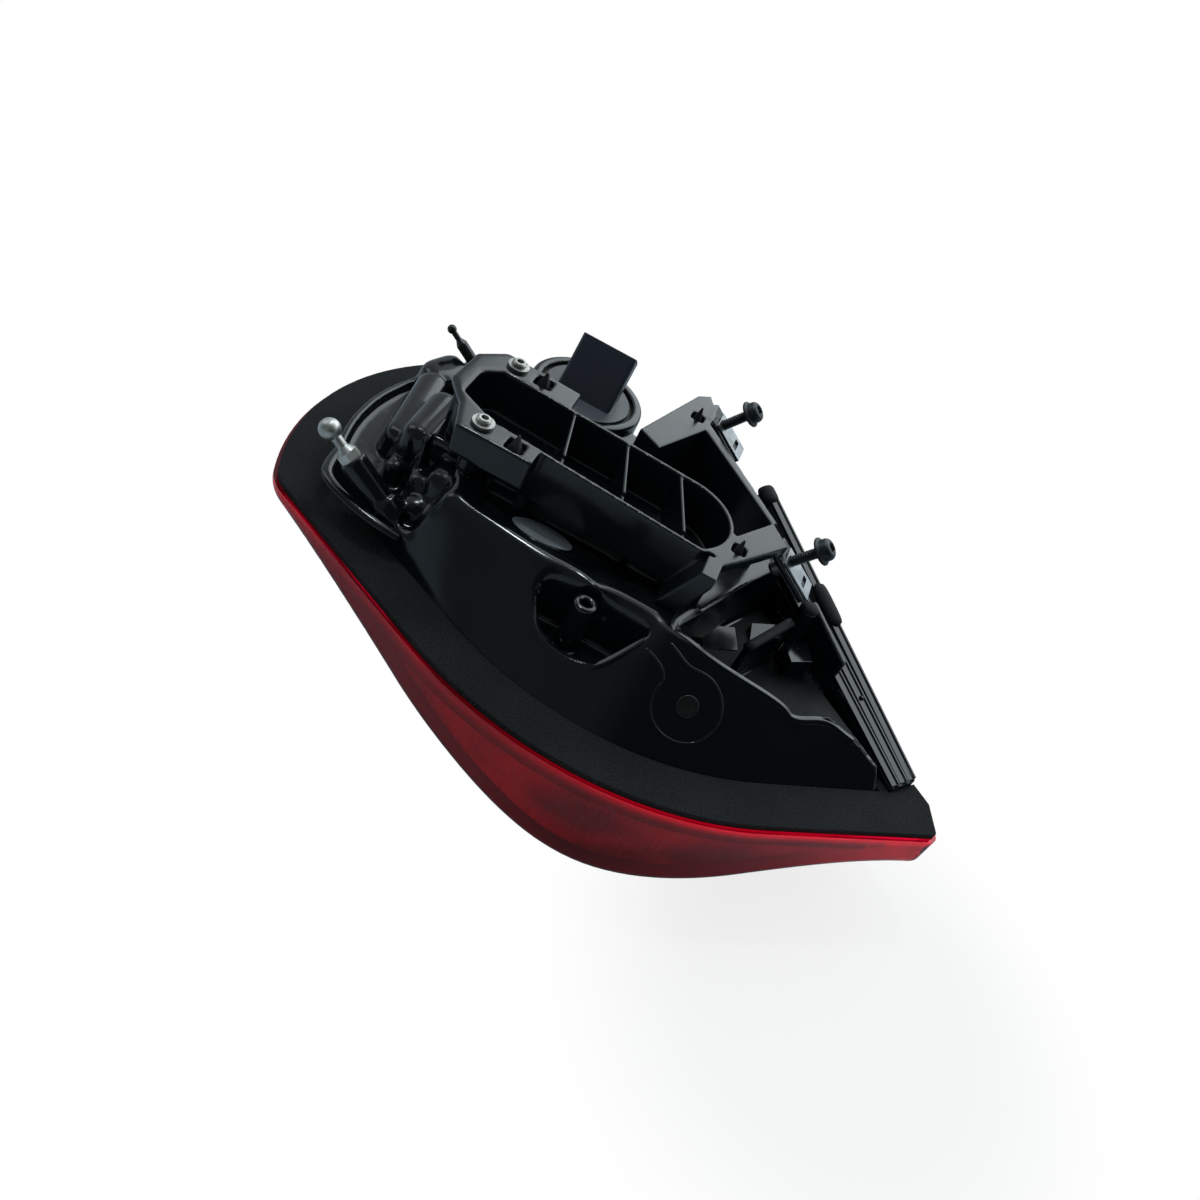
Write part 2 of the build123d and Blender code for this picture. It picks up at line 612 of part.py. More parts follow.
# Arms: a thick far one, a thin near one with a sloping root, and the thin wall between their ends
arm_low = RIM - ARM_THICK
far_arm = prism(FAR_ARM, PLATEAU, RIM)
near_arm = prism(NEAR_ARM, arm_low, RIM)
root_x = NEAR_ARM[0][0]
root_end = root_x + ROOT_THICK
root_face = polygon([(root_x - ROOT_SPREAD, PLATEAU), (root_x, RIM), (root_end, RIM), (root_end, arm_low),
                     (root_x, PLATEAU)])
root = Pos(0, ARM_ROOT[1], 0) * extrude(Plane.XZ * root_face, amount=ARM_ROOT[1] - ARM_ROOT[0])
end_block = block(TRAY_NEAR_R[0] + TRAY_WALL, root_end, TRAY_NEAR_R[1], TRAY_END_BULGE[1], PLATEAU, RIM)
tray = tray + far_arm + near_arm + root + prism(BAY_WALL, PLATEAU, RIM) + end_block - cell_space
tray = tray + (ribs & slab(offset(cells, amount=OVER, kind=Kind.ARC), PLATEAU, RIM))

# Plates for the fixing bolts, each with room for its clip nut
bolt_x = Vector(cos(fit), 0, -sin(fit))
bolt_planes = [Plane(origin=(x, y, RIM - drop), x_dir=bolt_x, z_dir=bolt_dir) for x, y, drop in BOLTS]
plate_span = BOLT_PLATE_DROP + BOLT_PLATE_RISE
plate_mid = (BOLT_PLATE_DROP - BOLT_PLATE_RISE) / 2
clip_room = CLIP + CLIP_BARREL_H + BOLT_TAIL
for plane in bolt_planes:
    tray = tray + plane * (Pos(plate_mid, 0, -BOLT_PLATE / 2) * Box(plate_span, BOLT_PLATE_W, BOLT_PLATE))
    bolt_room = Cylinder(BOLT_R + BOLT_GAP, clip_room + BOLT_REACH, align=MID_LOW)
    tray = tray - plane * (Pos(0, 0, -clip_room) * bolt_room)
    nut_room = Box(plate_span, CLIP_W + OVER, clip_room)
    tray = tray - plane * (Pos(plate_mid, 0, -BOLT_PLATE - clip_room / 2) * nut_room)
for x, y, side in SPIKES:
    half = (side + WINDOW_GAP) / 2
    tray = tray - block(x - half, x + half, y - half, y + half, RIM - WINDOW_DEPTH, RIM + OVER)
for at in TRAY_SCREWS:
    tray = tray - post(at, TRAY_SCREW_R, PLATEAU - OVER, RIM + OVER)

# Rubber stops in the four windows
stops = []
for x, y, side in SPIKES:
    foot = Rectangle(side, side)
    tip = Pos(0, 0, WINDOW_DEPTH + SPIKE_TIP) * Rectangle(SPIKE_POINT, SPIKE_POINT)
    stops.append(Pos(x, y, RIM - WINDOW_DEPTH) * loft([foot, tip], ruled=True))


# Screws, ball stud, locating pin, bolts and clip nuts
def turned(points):
    return revolve(Plane.XZ * polygon(points), axis=Axis.Z)


def cap_screw(at, z, head_r, shank_r, length):
    cap_r = head_r * SCREW_CAP
    shank = [(0, -length), (shank_r, -length), (shank_r, 0)]
    washer = [(head_r, 0), (head_r, SCREW_WASHER), (cap_r, SCREW_WASHER)]
    cap = [(cap_r, SCREW_TOP - SCREW_BEVEL), (cap_r - SCREW_BEVEL, SCREW_TOP), (0, SCREW_TOP)]
    socket = extrude(RegularPolygon(head_r * SOCKET, 6), amount=2 * SOCKET_DEPTH)
    screw = turned(shank + washer + cap) - Pos(0, 0, SCREW_TOP - SOCKET_DEPTH) * socket
    return Pos(at[0], at[1], z) * screw


screw_len = RIM - PLATEAU + TRAY_SCREW_BITE
tray_screws = [cap_screw(at, RIM, TRAY_SCREW_HEAD, TRAY_SCREW_R, screw_len) for at in TRAY_SCREWS]
edge_screw = cap_screw(EDGE_SCREW_AT, edge_top, EDGE_SCREW_HEAD, EDGE_SCREW_R, EDGE_SCREW_LEN)

stud_plane = Plane(origin=tower_top, z_dir=stud_dir)
stud = extrude(RegularPolygon(STUD_HEX / 2, 6, major_radius=False), amount=STUD_BASE)
stud = stud + Pos(0, 0, STUD_BASE) * Cone(STUD_HEX / 2, STUD_R, STUD_TAPER, align=MID_LOW)
stud = stud + Pos(0, 0, OVER - STUD_DEPTH) * Cylinder(STUD_R, STUD_LEN + STUD_DEPTH - OVER, align=MID_LOW)
ball_stud = stud_plane * (stud + Pos(0, 0, STUD_LEN) * Sphere(BALL_R))

pin_neck = PIN_COLLAR + PIN_LEN
pin_end = pin_neck + PIN_TIP_LEN
pin_shank = [(0, -PIN_SHANK), (PIN_SHANK_R, -PIN_SHANK), (PIN_SHANK_R, 0)]
pin_collar = [(PIN_COLLAR_R, 0), (PIN_COLLAR_R, PIN_COLLAR), (PIN_R, PIN_COLLAR), (PIN_R, pin_neck)]
pin_tip = [(PIN_NECK_R, pin_neck + PIN_TAPER), (PIN_NECK_R, pin_end), (0, pin_end)]
pin = turned(pin_shank + pin_collar + pin_tip)
locating_pin = pin_plane * (pin + Pos(0, 0, pin_end) * Sphere(PIN_TIP_R))

bolt_seat = BOLT_REACH + BOLT_FLANGE
bolt_top = BOLT_REACH + BOLT_HEAD
bolt = turned([(0, -BOLT_TAIL), (BOLT_R, -BOLT_TAIL), (BOLT_R, BOLT_REACH), (BOLT_FLANGE_R, BOLT_REACH),
               (BOLT_FLANGE_R, bolt_seat), (BOLT_HEAD_R, bolt_seat), (BOLT_HEAD_R, bolt_top - BOLT_BEVEL),
               (BOLT_HEAD_R - BOLT_BEVEL, bolt_top), (0, bolt_top)])
bolts = [plane * bolt for plane in bolt_planes]

FROM_MIN = (Align.MIN, Align.CENTER, Align.MIN)
clip_len = BOLT_PLATE_DROP + CLIP_TOP
clip = Box(clip_len + CLIP, CLIP_W, BOLT_PLATE + 2 * CLIP, align=FROM_MIN)
clip = Pos(-CLIP_TOP, 0, -BOLT_PLATE - CLIP) * clip
plate_room = Box(clip_len + OVER, CLIP_W + OVER, BOLT_PLATE, align=FROM_MIN)
clip = clip - Pos(-CLIP_TOP - OVER, 0, -BOLT_PLATE) * plate_room
clip_slot = Box(CLIP_SLOT[1], CLIP_SLOT[2], CLIP, align=MID_LOW)
clip = clip - Pos(BOLT_PLATE_DROP - CLIP_SLOT[0], 0, 0) * clip_slot
barrel_low = -BOLT_PLATE - CLIP - CLIP_BARREL_H
clip = clip + Pos(0, 0, barrel_low) * Cylinder(CLIP_BARREL_R, CLIP_BARREL_H, align=MID_LOW)
clip = clip - Pos(0, 0, barrel_low) * Cylinder(BOLT_R, BOLT_TAIL + BOLT_REACH, align=MID_LOW)
clip_nuts = [plane * clip for plane in bolt_planes]

# Connector with its face seal and terminals
plug_r = conn_r - CONN_SEAL
seal_top = PLATEAU + CONN_SEAL
conn_seal = post(CONN_AT, conn_r, PLATEAU, seal_top) - post(CONN_AT, plug_r, PLATEAU, seal_top)
shroud_root = CONN_D * sin(conn_turn)
shroud = Box(CONN_W, CONN_D, CONN_H + shroud_root, align=MID_LOW)
shroud = conn_plane * (Pos(0, 0, -shroud_root) * fillet(shroud.edges().filter_by(Axis.Z), CONN_CORNER))
shroud = shroud - post(CONN_AT, FAR, flange_low, PLATEAU)
conn = post(CONN_AT, plug_r, PLATEAU, PLATEAU + CONN_BASE) + shroud
conn = conn + conn_plane * (Pos(0, 0, -CONN_STUB) * Box(stub_w, CONN_STUB_D, CONN_STUB, align=MID_LOW))
conn = conn - conn_plane * (Pos(0, 0, CONN_FLOOR) * Box(
    CONN_W - 2 * CONN_WALL, CONN_D - 2 * CONN_WALL, CONN_H, align=MID_LOW))
pin_low = -CONN_STUB - CONN_PIN_DOWN
pin_len = CONN_FLOOR + CONN_PIN_UP - pin_low
terminals = []
for k in range(CONN_PINS):
    pin_x = (k - (CONN_PINS - 1) / 2) * CONN_PITCH
    terminal = Box(CONN_PIN, CONN_PIN, pin_len, align=MID_LOW)
    terminals.append(conn_plane * (Pos(pin_x, 0, pin_low) * terminal))
for terminal in terminals:
    conn = conn - terminal

vent = vent_plane * (Pos(0, 0, -VENT_THICK) * Cylinder(VENT_R, VENT_THICK, align=MID_LOW))

# Light unit: bezel, reflector cups, board with packages, heat sink, header, ribbon, guide and optic
bezel_low = flange_low - BEZEL_THICK
bezel = slab(inset(BEZEL_MARGIN), bezel_low, flange_low)
for at in BOARD_POSTS:
    bezel = bezel + post(at, BOARD_POST_R, bezel_low, BOARD_Z)
cups = []
leds = []
cup_h = BOARD_Z - flange_low
cup = turned([(CUP_R, 0), (CUP_TOP_R, cup_h), (CUP_TOP_R - CUP_WALL, cup_h), (CUP_R - CUP_WALL, 0)])
for at in CUPS:
    bezel = bezel - post(at, CUP_R - CUP_WALL, bezel_low, flange_low)
    cups.append(Pos(at[0], at[1], flange_low) * cup)
    leds.append(Pos(at[0], at[1], BOARD_Z - LED_H) * Box(LED, LED, LED_H, align=MID_LOW))
board_top = BOARD_Z + BOARD_THICK
board_far = BOARD[-1][1]
board = prism(BOARD, BOARD_Z, board_top)
sink_x, sink_y = SINK_AT
sink_w = SINK_PITCH * (SINK_FINS - 1) + SINK_FIN
sink = Pos(sink_x, sink_y, board_top) * Box(sink_w, SINK_LENGTH, SINK_BASE, align=MID_LOW)
for k in range(SINK_FINS):
    fin_x = sink_x + (k - (SINK_FINS - 1) / 2) * SINK_PITCH
    sink = sink + Pos(fin_x, sink_y, board_top) * Box(SINK_FIN, SINK_LENGTH, SINK_H, align=MID_LOW)
header_y = board_far - HEADER_EDGE - HEADER_D / 2
header_top = board_top + HEADER_H
header = Pos(CONN_AT[0], header_y, board_top) * Box(stub_w, HEADER_D, HEADER_H, align=MID_LOW)
tail = conn_plane.from_local_coords((0, 0, pin_low - RIBBON_THICK / 2))
tail_along = Vector(0, cos(conn_turn), -sin(conn_turn)) * (CONN_STUB_D / 2)
tail_out = Vector(0, sin(conn_turn), cos(conn_turn)) * (RIBBON_THICK / 2)
tail_corners = [tail - tail_along + tail_out, tail + tail_along + tail_out, tail + tail_along - tail_out]
ribbon_face = polygon([(header_y - RIBBON_THICK, header_top)] + [(at.Y, at.Z) for at in tail_corners] + [
    (header_y + RIBBON_THICK, header_top)])
ribbon = Pos(CONN_AT[0] - stub_w / 2, 0, 0) * extrude(Plane.YZ * ribbon_face, amount=stub_w)


def band(margin, width, z0, z1, ends):
    ring = slab(inset(margin), z0, z1) - slab(inset(margin + width), z0, z1)
    return ring & block(CORNER_A_X + ends[0], CORNER_B_X - ends[1], -FAR, corner_a[1] + ends[2], z0, z1)


guide = band(GUIDE_IN, GUIDE_W, bezel_low - GUIDE_W, bezel_low, GUIDE_ENDS)
optic = band(OPTIC_IN, OPTIC_W, flange_low - OPTIC_H, flange_low, OPTIC_ENDS)

parts = {
    "housing": housing,
    "foam_seal": seal,
    "outer_lens": lens,
    "fluted_optic": optic,
    "bezel": bezel,
    "reflector_cups": Compound(children=cups),
    "light_guide": guide,
    "led_board": board,
    "led_packages": Compound(children=leds),
    "heat_sink": sink,
    "board_header": header,
    "ribbon": ribbon,
    "module_tray": tray,
    "tray_screws": Compound(children=tray_screws),
    "rubber_stops": Compound(children=stops),
    "far_bolt": bolts[0],
    "near_bolt": bolts[1],
    "far_clip_nut": clip_nuts[0],
    "near_clip_nut": clip_nuts[1],
    "ball_stud": ball_stud,
    "edge_screw": edge_screw,
    "locating_pin": locating_pin,
    "connector": conn,
    "connector_seal": conn_seal,
    "terminals": Compound(children=terminals),
    "vent_membrane": vent,
}
for name, shape in parts.items():
    export_step(shape, "parts/" + name + ".step")
    print(name, round(shape.volume), len(shape.solids()), shape.is_valid)
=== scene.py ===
import json
from math import cos, pi, radians, sin, tau

import bmesh
import bpy
import numpy as np
from mathutils import Matrix, Vector
from mathutils.bvhtree import BVHTree


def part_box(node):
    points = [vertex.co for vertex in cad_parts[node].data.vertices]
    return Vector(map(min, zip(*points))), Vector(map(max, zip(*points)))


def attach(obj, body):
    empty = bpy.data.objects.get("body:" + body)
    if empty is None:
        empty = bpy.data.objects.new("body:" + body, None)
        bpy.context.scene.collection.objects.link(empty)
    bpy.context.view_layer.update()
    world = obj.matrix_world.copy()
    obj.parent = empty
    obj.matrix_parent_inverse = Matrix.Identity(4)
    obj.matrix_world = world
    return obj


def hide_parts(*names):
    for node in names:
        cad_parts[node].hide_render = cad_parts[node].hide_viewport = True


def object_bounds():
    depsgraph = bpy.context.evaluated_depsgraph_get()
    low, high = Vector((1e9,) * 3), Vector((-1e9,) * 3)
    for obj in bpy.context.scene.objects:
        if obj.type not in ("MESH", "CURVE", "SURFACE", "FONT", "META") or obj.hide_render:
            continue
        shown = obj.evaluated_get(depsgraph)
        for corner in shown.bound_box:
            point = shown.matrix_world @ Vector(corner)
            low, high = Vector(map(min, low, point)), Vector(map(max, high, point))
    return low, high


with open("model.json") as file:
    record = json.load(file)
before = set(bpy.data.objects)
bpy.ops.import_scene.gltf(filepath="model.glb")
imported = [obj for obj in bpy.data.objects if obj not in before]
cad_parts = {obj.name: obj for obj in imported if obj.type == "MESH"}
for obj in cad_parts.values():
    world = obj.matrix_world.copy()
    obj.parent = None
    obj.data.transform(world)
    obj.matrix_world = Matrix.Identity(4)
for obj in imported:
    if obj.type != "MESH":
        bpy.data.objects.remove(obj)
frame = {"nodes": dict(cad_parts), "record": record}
cad_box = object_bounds()
nodes = frame["nodes"]
mounts = {mount["name"]: mount for mount in frame["record"]["mounts"]}
MM = 0.001
UP = Vector((0, 0, 1))

# Camera of the photograph: height above the horizon, roll, place, and focal length on a 36 mm frame
CAMERA_ELEVATION = radians(40.0)
CAMERA_ROLL = radians(28.5)
CAMERA_AT = Vector((-0.0255, -0.3100, 0.3333))
CAMERA_LENS = 33.0
CAMERA_SENSOR = 36.0
CAMERA_NEAR = 0.01

# Floor: share seen as white, grey under the lamps, colour in reflections, and where the shadow fades out
FLOOR_SIZE = 30.0
FLOOR_GAP = 0.2 * MM
FLOOR_WHITE = 0.8
FLOOR_GREY = 0.7
FLOOR_MIRRORED = (0.4, 0.45, 0.5)
SHADOW_AT = (150 * MM, -10 * MM, 0.0)
SHADOW_FADE = (60 * MM, 150 * MM)

# Room seen in reflections: dark, with a cloudy glow on the left and a bright far side, dimmer on the left
ROOM_DARK = 0.035
ROOM_GLOW = 0.13
ROOM_GLOW_LEFT = (-0.25, 0.05)
CLOUD_SCALE = 3.0
CLOUD_DETAIL = 3.0
CLOUD_EDGE = (0.25, 0.6)
CLOUD_LEAST = 0.5
FAR_SIDE = (-0.25, 0.5)
FAR_SIDE_LEFT = (-0.1, 0.35)
FAR_SIDE_DIMMED = 0.6
SKY_LEVEL = 0.5

# Lamps: name, place, size and radiance, all turned to one point of the part
COOL_LIGHT = (0.88, 0.97, 1.0)
LAMPS_AIM = Vector((0, 0.09, 0))
LAMPS = (
    ("far_softbox", (0.4, 1.2, 0.95), (1.8, 1.2), 1.7),
    ("side_softbox", (-1.1, 0.2, 0.8), (0.5, 0.9), 1.2),
    ("ceiling_lamp", (-0.35, 0.55, 1.6), (0.2, 0.2), 40.0),
)

# Moulded skins: grid, triangle limit, joining distance, pull and passes of the rounding
HOUSING_GRID = 0.65 * MM
TRAY_GRID = 0.5 * MM
SKIN_LIMIT = 190000
WELD = 0.02 * MM
PULL = 0.5
ROUNDING = 8
LOBE_ROUNDING = 16
LIP_ROUNDING = 70
RIDGE_ROUNDING = 110
RIDGE_LOW = 26 * MM
RAIL_ROUNDING = 40
TRAY_END_ROUNDING = 30
TRAY_END_X = -98 * MM

# Softly rounded part of the housing: left lobes, near slope and trench, clear of tower, boss, bay and rail
LOBES_END_X = -112 * MM
LOBES_NEAR_Y = 60 * MM
TRENCH_FAR_Y = 84 * MM
BAY_EDGE_Y = 66 * MM
BAY_START_X = (-5 * MM, 15 * MM)
SOFT_BLEND = 5 * MM
TOWER_CLEAR = 6.6 * MM
TOWER_BLEND = 2 * MM
POCKET_BOSS_AT = (-30 * MM, 39 * MM)
POCKET_BOSS_CLEAR = 8 * MM

# Rail: ends of its outer edge, width, foot and slope
RAIL_FROM = (154 * MM, 72 * MM)
RAIL_TO = (21 * MM, 185 * MM)
RAIL_WIDTH = 21 * MM
RAIL_LOW = 3 * MM
RAIL_RISE = 0.258

# Strips that top the rail, each with a ridge on its outer side
RAIL_STRIPS = 3
RAIL_RUN = (13 * MM, 163 * MM)
RAIL_STEP_FALL = 0.08
RAIL_OUTER = 2.85 * MM
RAIL_STRIP = 5.6 * MM
RAIL_GROOVE = 0.5 * MM
RAIL_RIDGE = (1.2 * MM, 0.7 * MM)
RAIL_STRIP_DEEP = 4 * MM
RAIL_LIFT = 0.5 * MM

# Rubber bumpers and a boss on the rail: place along it, inward and above its slope; the bumpers' sizes
RAIL_BUMPERS = ((102 * MM, 4.6 * MM, 0.4 * MM), (164.5 * MM, 7.0 * MM, -0.6 * MM))
BUMPER_SIZES = ((24 * MM, 8.6 * MM, 5.4 * MM), (10 * MM, 10 * MM, 7 * MM))
BUMPER_SQUARE = 4
BUMPER_RINGS = 8
BUMPER_TIP = 0.999
RAIL_BOSS = (55 * MM, 11 * MM, -0.6 * MM)
RAIL_BOSS_R = 1.3 * MM

# Rounded edges of added pieces: width and segments
SOFT_EDGE = (0.3 * MM, 3)
RAIL_EDGE = (0.2 * MM, 2)

# Flat-topped lips along the pocket's rim and the bay's near edge, in mm
POCKET_LIP = ((-51.5, 42), (-51, 38), (-43.5, 30), (-31, 26), (-18.5, 26), (-11, 29.2), (2, 43.5))
BAY_LIP = ((8, 47.5), (30, 47), (64, 53.2), (74, 54.6), (88, 63.4), (104, 66.2))
LIP_PROFILE = ((-2.4, -1.6), (-1.1, 0.45), (1.1, 0.45), (2.4, -1.6))
LIP_STEPS = 8
LIP_AVERAGE = 4

# Foot of the fence between rail and bay
FENCE_FOOT = (22.2 * MM, 24.3 * MM)
FENCE_FOOT_SPAN = (66 * MM, 102 * MM)
FENCE_FOOT_Z = (6.8 * MM, 8.3 * MM)

# Round beads on the rim at the left end and on the bay's rib, in mm
RIM_LIP = (
    (-162.7, 81.6, 13), (-161.4, 66.3, 13), (-156.9, 56.6, 13), (-142.3, 49.6, 12.6), (-128, 46.9, 11.6),
    (-115.5, 47.6, 9.8))
RIM_LIP_R = 2.0 * MM
RIB_CAP = ((41.5, 69, 31.6), (57, 101, 31.6))
RIB_CAP_R = 1.7 * MM
ROUND_LIP_SIDES = 16
BEAD_WIDTH = 1.4

# Domes of the bay's post and the rail's boss
POST_DOME_AT = Vector((62 * MM, 109 * MM, 37.5 * MM))
POST_DOME_R = 4.6 * MM
POST_DOME_H = 2.6 * MM
DOME_RINGS = 7
DOME_FLAT = 0.5
ROUND_SIDES = 32

# Bay: grained floor plate, block beside the post and two ramps, in mm
BAY_FLOOR = 7.5
BAY_GRAIN_TOP = 8.3
BAY_GRAIN = (
    (13, 53.5), (30, 51), (64, 57.5), (74, 59), (87.5, 68), (104, 70.5), (115.5, 71.5), (62.5, 117),
    (46.5, 130.5), (33.5, 103.5))
BAY_BLOCK = ((66, 91, 19), (76, 99, 19), (71, 111, 19), (60, 102, 19))
BAY_RAMP_LEFT = ((27, 82, 8.6), (43, 92.6, 8.6), (37, 103, 12), (21, 92.4, 12))
BAY_RAMP_FAR = ((47, 100, 8.6), (63, 112, 8.6), (60, 124, 12), (44, 112, 12))

# Ring round the vent, and how far up a face has to point to count as a top
VENT_LIP_R = 15.5 * MM
VENT_LIP_TUBE = 0.8 * MM
VENT_LIP_SIDES = 64
VENT_TUBE_SIDES = 12
FACES_UP = 0.8

# Gate mark on the near wall: round pad and the raised line round it with a neck towards the ridge
GATE_AT = (28.3 * MM, 30.7 * MM)
GATE_PAD = 5.0 * MM
GATE_RISE = 0.5 * MM
GATE_PAD_PROFILE = ((1.0, -1.0), (1.0, 0.6), (0.97, 0.9), (0.9, 1.0), (0.55, 1.0), (0.5, 0.8))
GATE_PAD_SIDES = 48
GATE_RING = 15.6 * MM
GATE_RING_STEPS = 24
GATE_OPEN = (radians(83), radians(150))
GATE_NECK_LEFT = ((10.8 * MM, 35.0 * MM), (4.8 * MM, 36.6 * MM), (0.8 * MM, 37.2 * MM))
GATE_NECK_RIGHT = ((20.5 * MM, 40.0 * MM), (13.4 * MM, 41.2 * MM), (9.3 * MM, 42.1 * MM))
GATE_LINE = 0.45 * MM
GATE_LINE_SIDES = 8
GATE_LINE_STEPS = 5
SLOPE_LEAN = 0.652

# Bolts: thread, flange and head
BOLT_SIDES = 36
BOLT_R = 2.6 * MM
BOLT_TAIL = 10.0 * MM
BOLT_REACH = 15.0 * MM
THREAD_PITCH = 1.25 * MM
THREAD_DEPTH = 0.4 * MM
THREAD_SHARPNESS = 1.2
THREAD_ROWS = 8
BOLT_FLANGE_R = 6.6 * MM
BOLT_FLANGE = 1.4 * MM
BOLT_HEAD_R = 5.2 * MM
BOLT_HEAD = 6.0 * MM
BOLT_SOCKET_R = 2.4 * MM
BOLT_SOCKET = 2.0 * MM
SOCKET_LOBES = 6
SOCKET_WAVE = 0.12

# Edges of the bolt's flange and head: height from the edge and radius beyond it, in mm
FLANGE_FOOT = ((0, -0.3), (0.3, 0))
FLANGE_TOP = ((-0.5, 0), (0, -0.5))
HEAD_FOOT = ((0.1, 0.2), (0.5, 0))
HEAD_TOP = ((-2.2, 0), (-1.2, -0.35), (-0.45, -1.0), (0, -2.0))

# Colours and clear plastics within the finishes, and how finely rounded edges are sampled
WHITE = (1, 1, 1)
BLACK = (0, 0, 0)
HAZE = (0.016, 0.018, 0.02)
DUST = (0.3, 0.3, 0.28)
FOAM_PORES = (0.0015, 0.0019, 0.0023)
FOAM_SKIN = (0.018, 0.0215, 0.0245)
LENS_DEEP = (0.66, 0.004, 0.035)
LENS_CLEAR = (0.74, 0.008, 0.045)
LENS_IOR = 1.42
OPTIC_IOR = 1.49
SKIRT_DARK = (0.22, 0.2, 0.21)
SKIRT_PALE = (0.72, 0.68, 0.68)
EDGE_SAMPLES = 6

# Lens: painted glow in the lip under the seal, an emission standing in for light piped along it, stronger
# towards the pointed end
PAINTED_GLOW_Z = (-8.5 * MM, -4.0 * MM)
PAINTED_GLOW_X = (-70 * MM, 100 * MM)
PAINTED_GLOW_LEFT = 0.18
PAINTED_LIP_GLOW = (0.22, 0.0, 0.008)

# Inside the lens: flutes of the optic and the skirt behind them
FLUTE_PITCH = 1.7 * MM
FLUTE_DEPTH = 0.45 * MM
FLUTE_STEPS = 6
TOP_DEPTH = 0.05 * MM
SKIRT_SPAN = (-150 * MM, 146 * MM)
SKIRT_STEP = 0.4 * MM
SKIRT_IN = 8.5 * MM
SKIRT_THICK = 1.0 * MM
SKIRT_TOP = -6.0 * MM
SKIRT_FLOOR = 5.0 * MM
SKIRT_LEAST = 1.0 * MM
SKIRT_FLUTE = 0.5 * MM
CLEAR_OF_PART = 100 * MM


class Sock:
    """Shader socket that takes part in Python arithmetic."""

    def __init__(self, finish, socket):
        self.finish = finish
        self.socket = socket

    def maths(self, operation, *values, clamp=False):
        settings = {"operation": operation, "use_clamp": clamp}
        return self.finish.node("ShaderNodeMath", settings, dict(enumerate(values)))

    def __add__(self, other):
        return self.maths("ADD", self, other)

    def __radd__(self, other):
        return self.maths("ADD", other, self)

    def __sub__(self, other):
        return self.maths("SUBTRACT", self, other)

    def __rsub__(self, other):
        return self.maths("SUBTRACT", other, self)

    def __mul__(self, other):
        return self.maths("MULTIPLY", self, other)

    def __rmul__(self, other):
        return self.maths("MULTIPLY", other, self)

    def __gt__(self, other):
        return self.maths("GREATER_THAN", self, other)

    def __lt__(self, other):
        return self.maths("LESS_THAN", self, other)

    def clamp(self):
        return self.maths("ADD", self, 0.0, clamp=True)

    def rise(self, low, high):
        """0 below low, 1 above high, smooth between."""
        settings = {"interpolation_type": "SMOOTHSTEP"}
        sockets = {"Value": self, "From Min": low, "From Max": high}
        return self.finish.node("ShaderNodeMapRange", settings, sockets)


class Finish:
    """One node tree. node() adds any node and returns one of its outputs as a Sock."""

    def __init__(self, name, world=False):
        self.world = world
        self.owner = bpy.data.worlds.new(name) if world else bpy.data.materials.new(name)
        self.owner.use_nodes = True
        self.tree = self.owner.node_tree
        self.tree.nodes.clear()

    def node(self, kind, settings=None, sockets=None, output=0):
        made = self.tree.nodes.new(kind)
        for key, value in (settings or {}).items():
            setattr(made, key, value)
        for key, value in (sockets or {}).items():
            target = made.inputs[key]
            if isinstance(value, Sock):
                self.tree.links.new(value.socket, target)
            else:
                target.default_value = value
        return Sock(self, made.outputs[output] if made.outputs else None)

    def place(self):
        return self.node("ShaderNodeTexCoord", output="Object")

    def axis(self, letter, vector=None):
        return self.node("ShaderNodeSeparateXYZ", None, {"Vector": vector or self.place()}, letter)

    def facing_up(self):
        return self.axis("Z", self.node("ShaderNodeNewGeometry", output="Normal"))

    def noise(self, scale, detail=2.0, roughness=0.5, stretch=(1.0, 1.0, 1.0)):
        vector = self.node("ShaderNodeVectorMath", {"operation": "MULTIPLY"}, {0: self.place(), 1: stretch})
        sockets = {"Vector": vector, "Scale": scale, "Detail": detail, "Roughness": roughness}
        return self.node("ShaderNodeTexNoise", None, sockets)

    def cells(self, scale, output="Distance"):
        return self.node("ShaderNodeTexVoronoi", None, {"Vector": self.place(), "Scale": scale}, output)

    def specks(self, scale, size, share):
        """Scattered dots: 1 on a share of the cells' middles."""
        chance = self.node("ShaderNodeSeparateColor", None, {"Color": self.cells(scale, "Color")}, 0)
        return (self.cells(scale) < size) * (chance > 1.0 - share)

    def mix(self, factor, low, high):
        settings = {"data_type": "RGBA", "clamp_factor": True}
        return self.node("ShaderNodeMix", settings, {0: factor, 6: low, 7: high}, 2)

    def bump(self, height, strength, distance, edge=0.0):
        sockets = {"Height": height, "Strength": strength, "Distance": distance}
        if edge:
            sockets["Normal"] = self.node("ShaderNodeBevel", {"samples": EDGE_SAMPLES}, {"Radius": edge})
        return self.node("ShaderNodeBump", None, sockets)

    def path(self, ray):
        return self.node("ShaderNodeLightPath", output=ray)

    def blend_shaders(self, factor, low, high):
        return self.node("ShaderNodeMixShader", None, {0: factor, 1: low, 2: high})

    def surface(self, **sockets):
        named = {key.replace("_", " "): value for key, value in sockets.items()}
        return self.done(self.node("ShaderNodeBsdfPrincipled", None, named))

    def done(self, shader):
        kind = "ShaderNodeOutputWorld" if self.world else "ShaderNodeOutputMaterial"
        self.node(kind, None, {"Surface": shader})
        return self.owner


def rgb(*values):
    return (*values, 1.0)


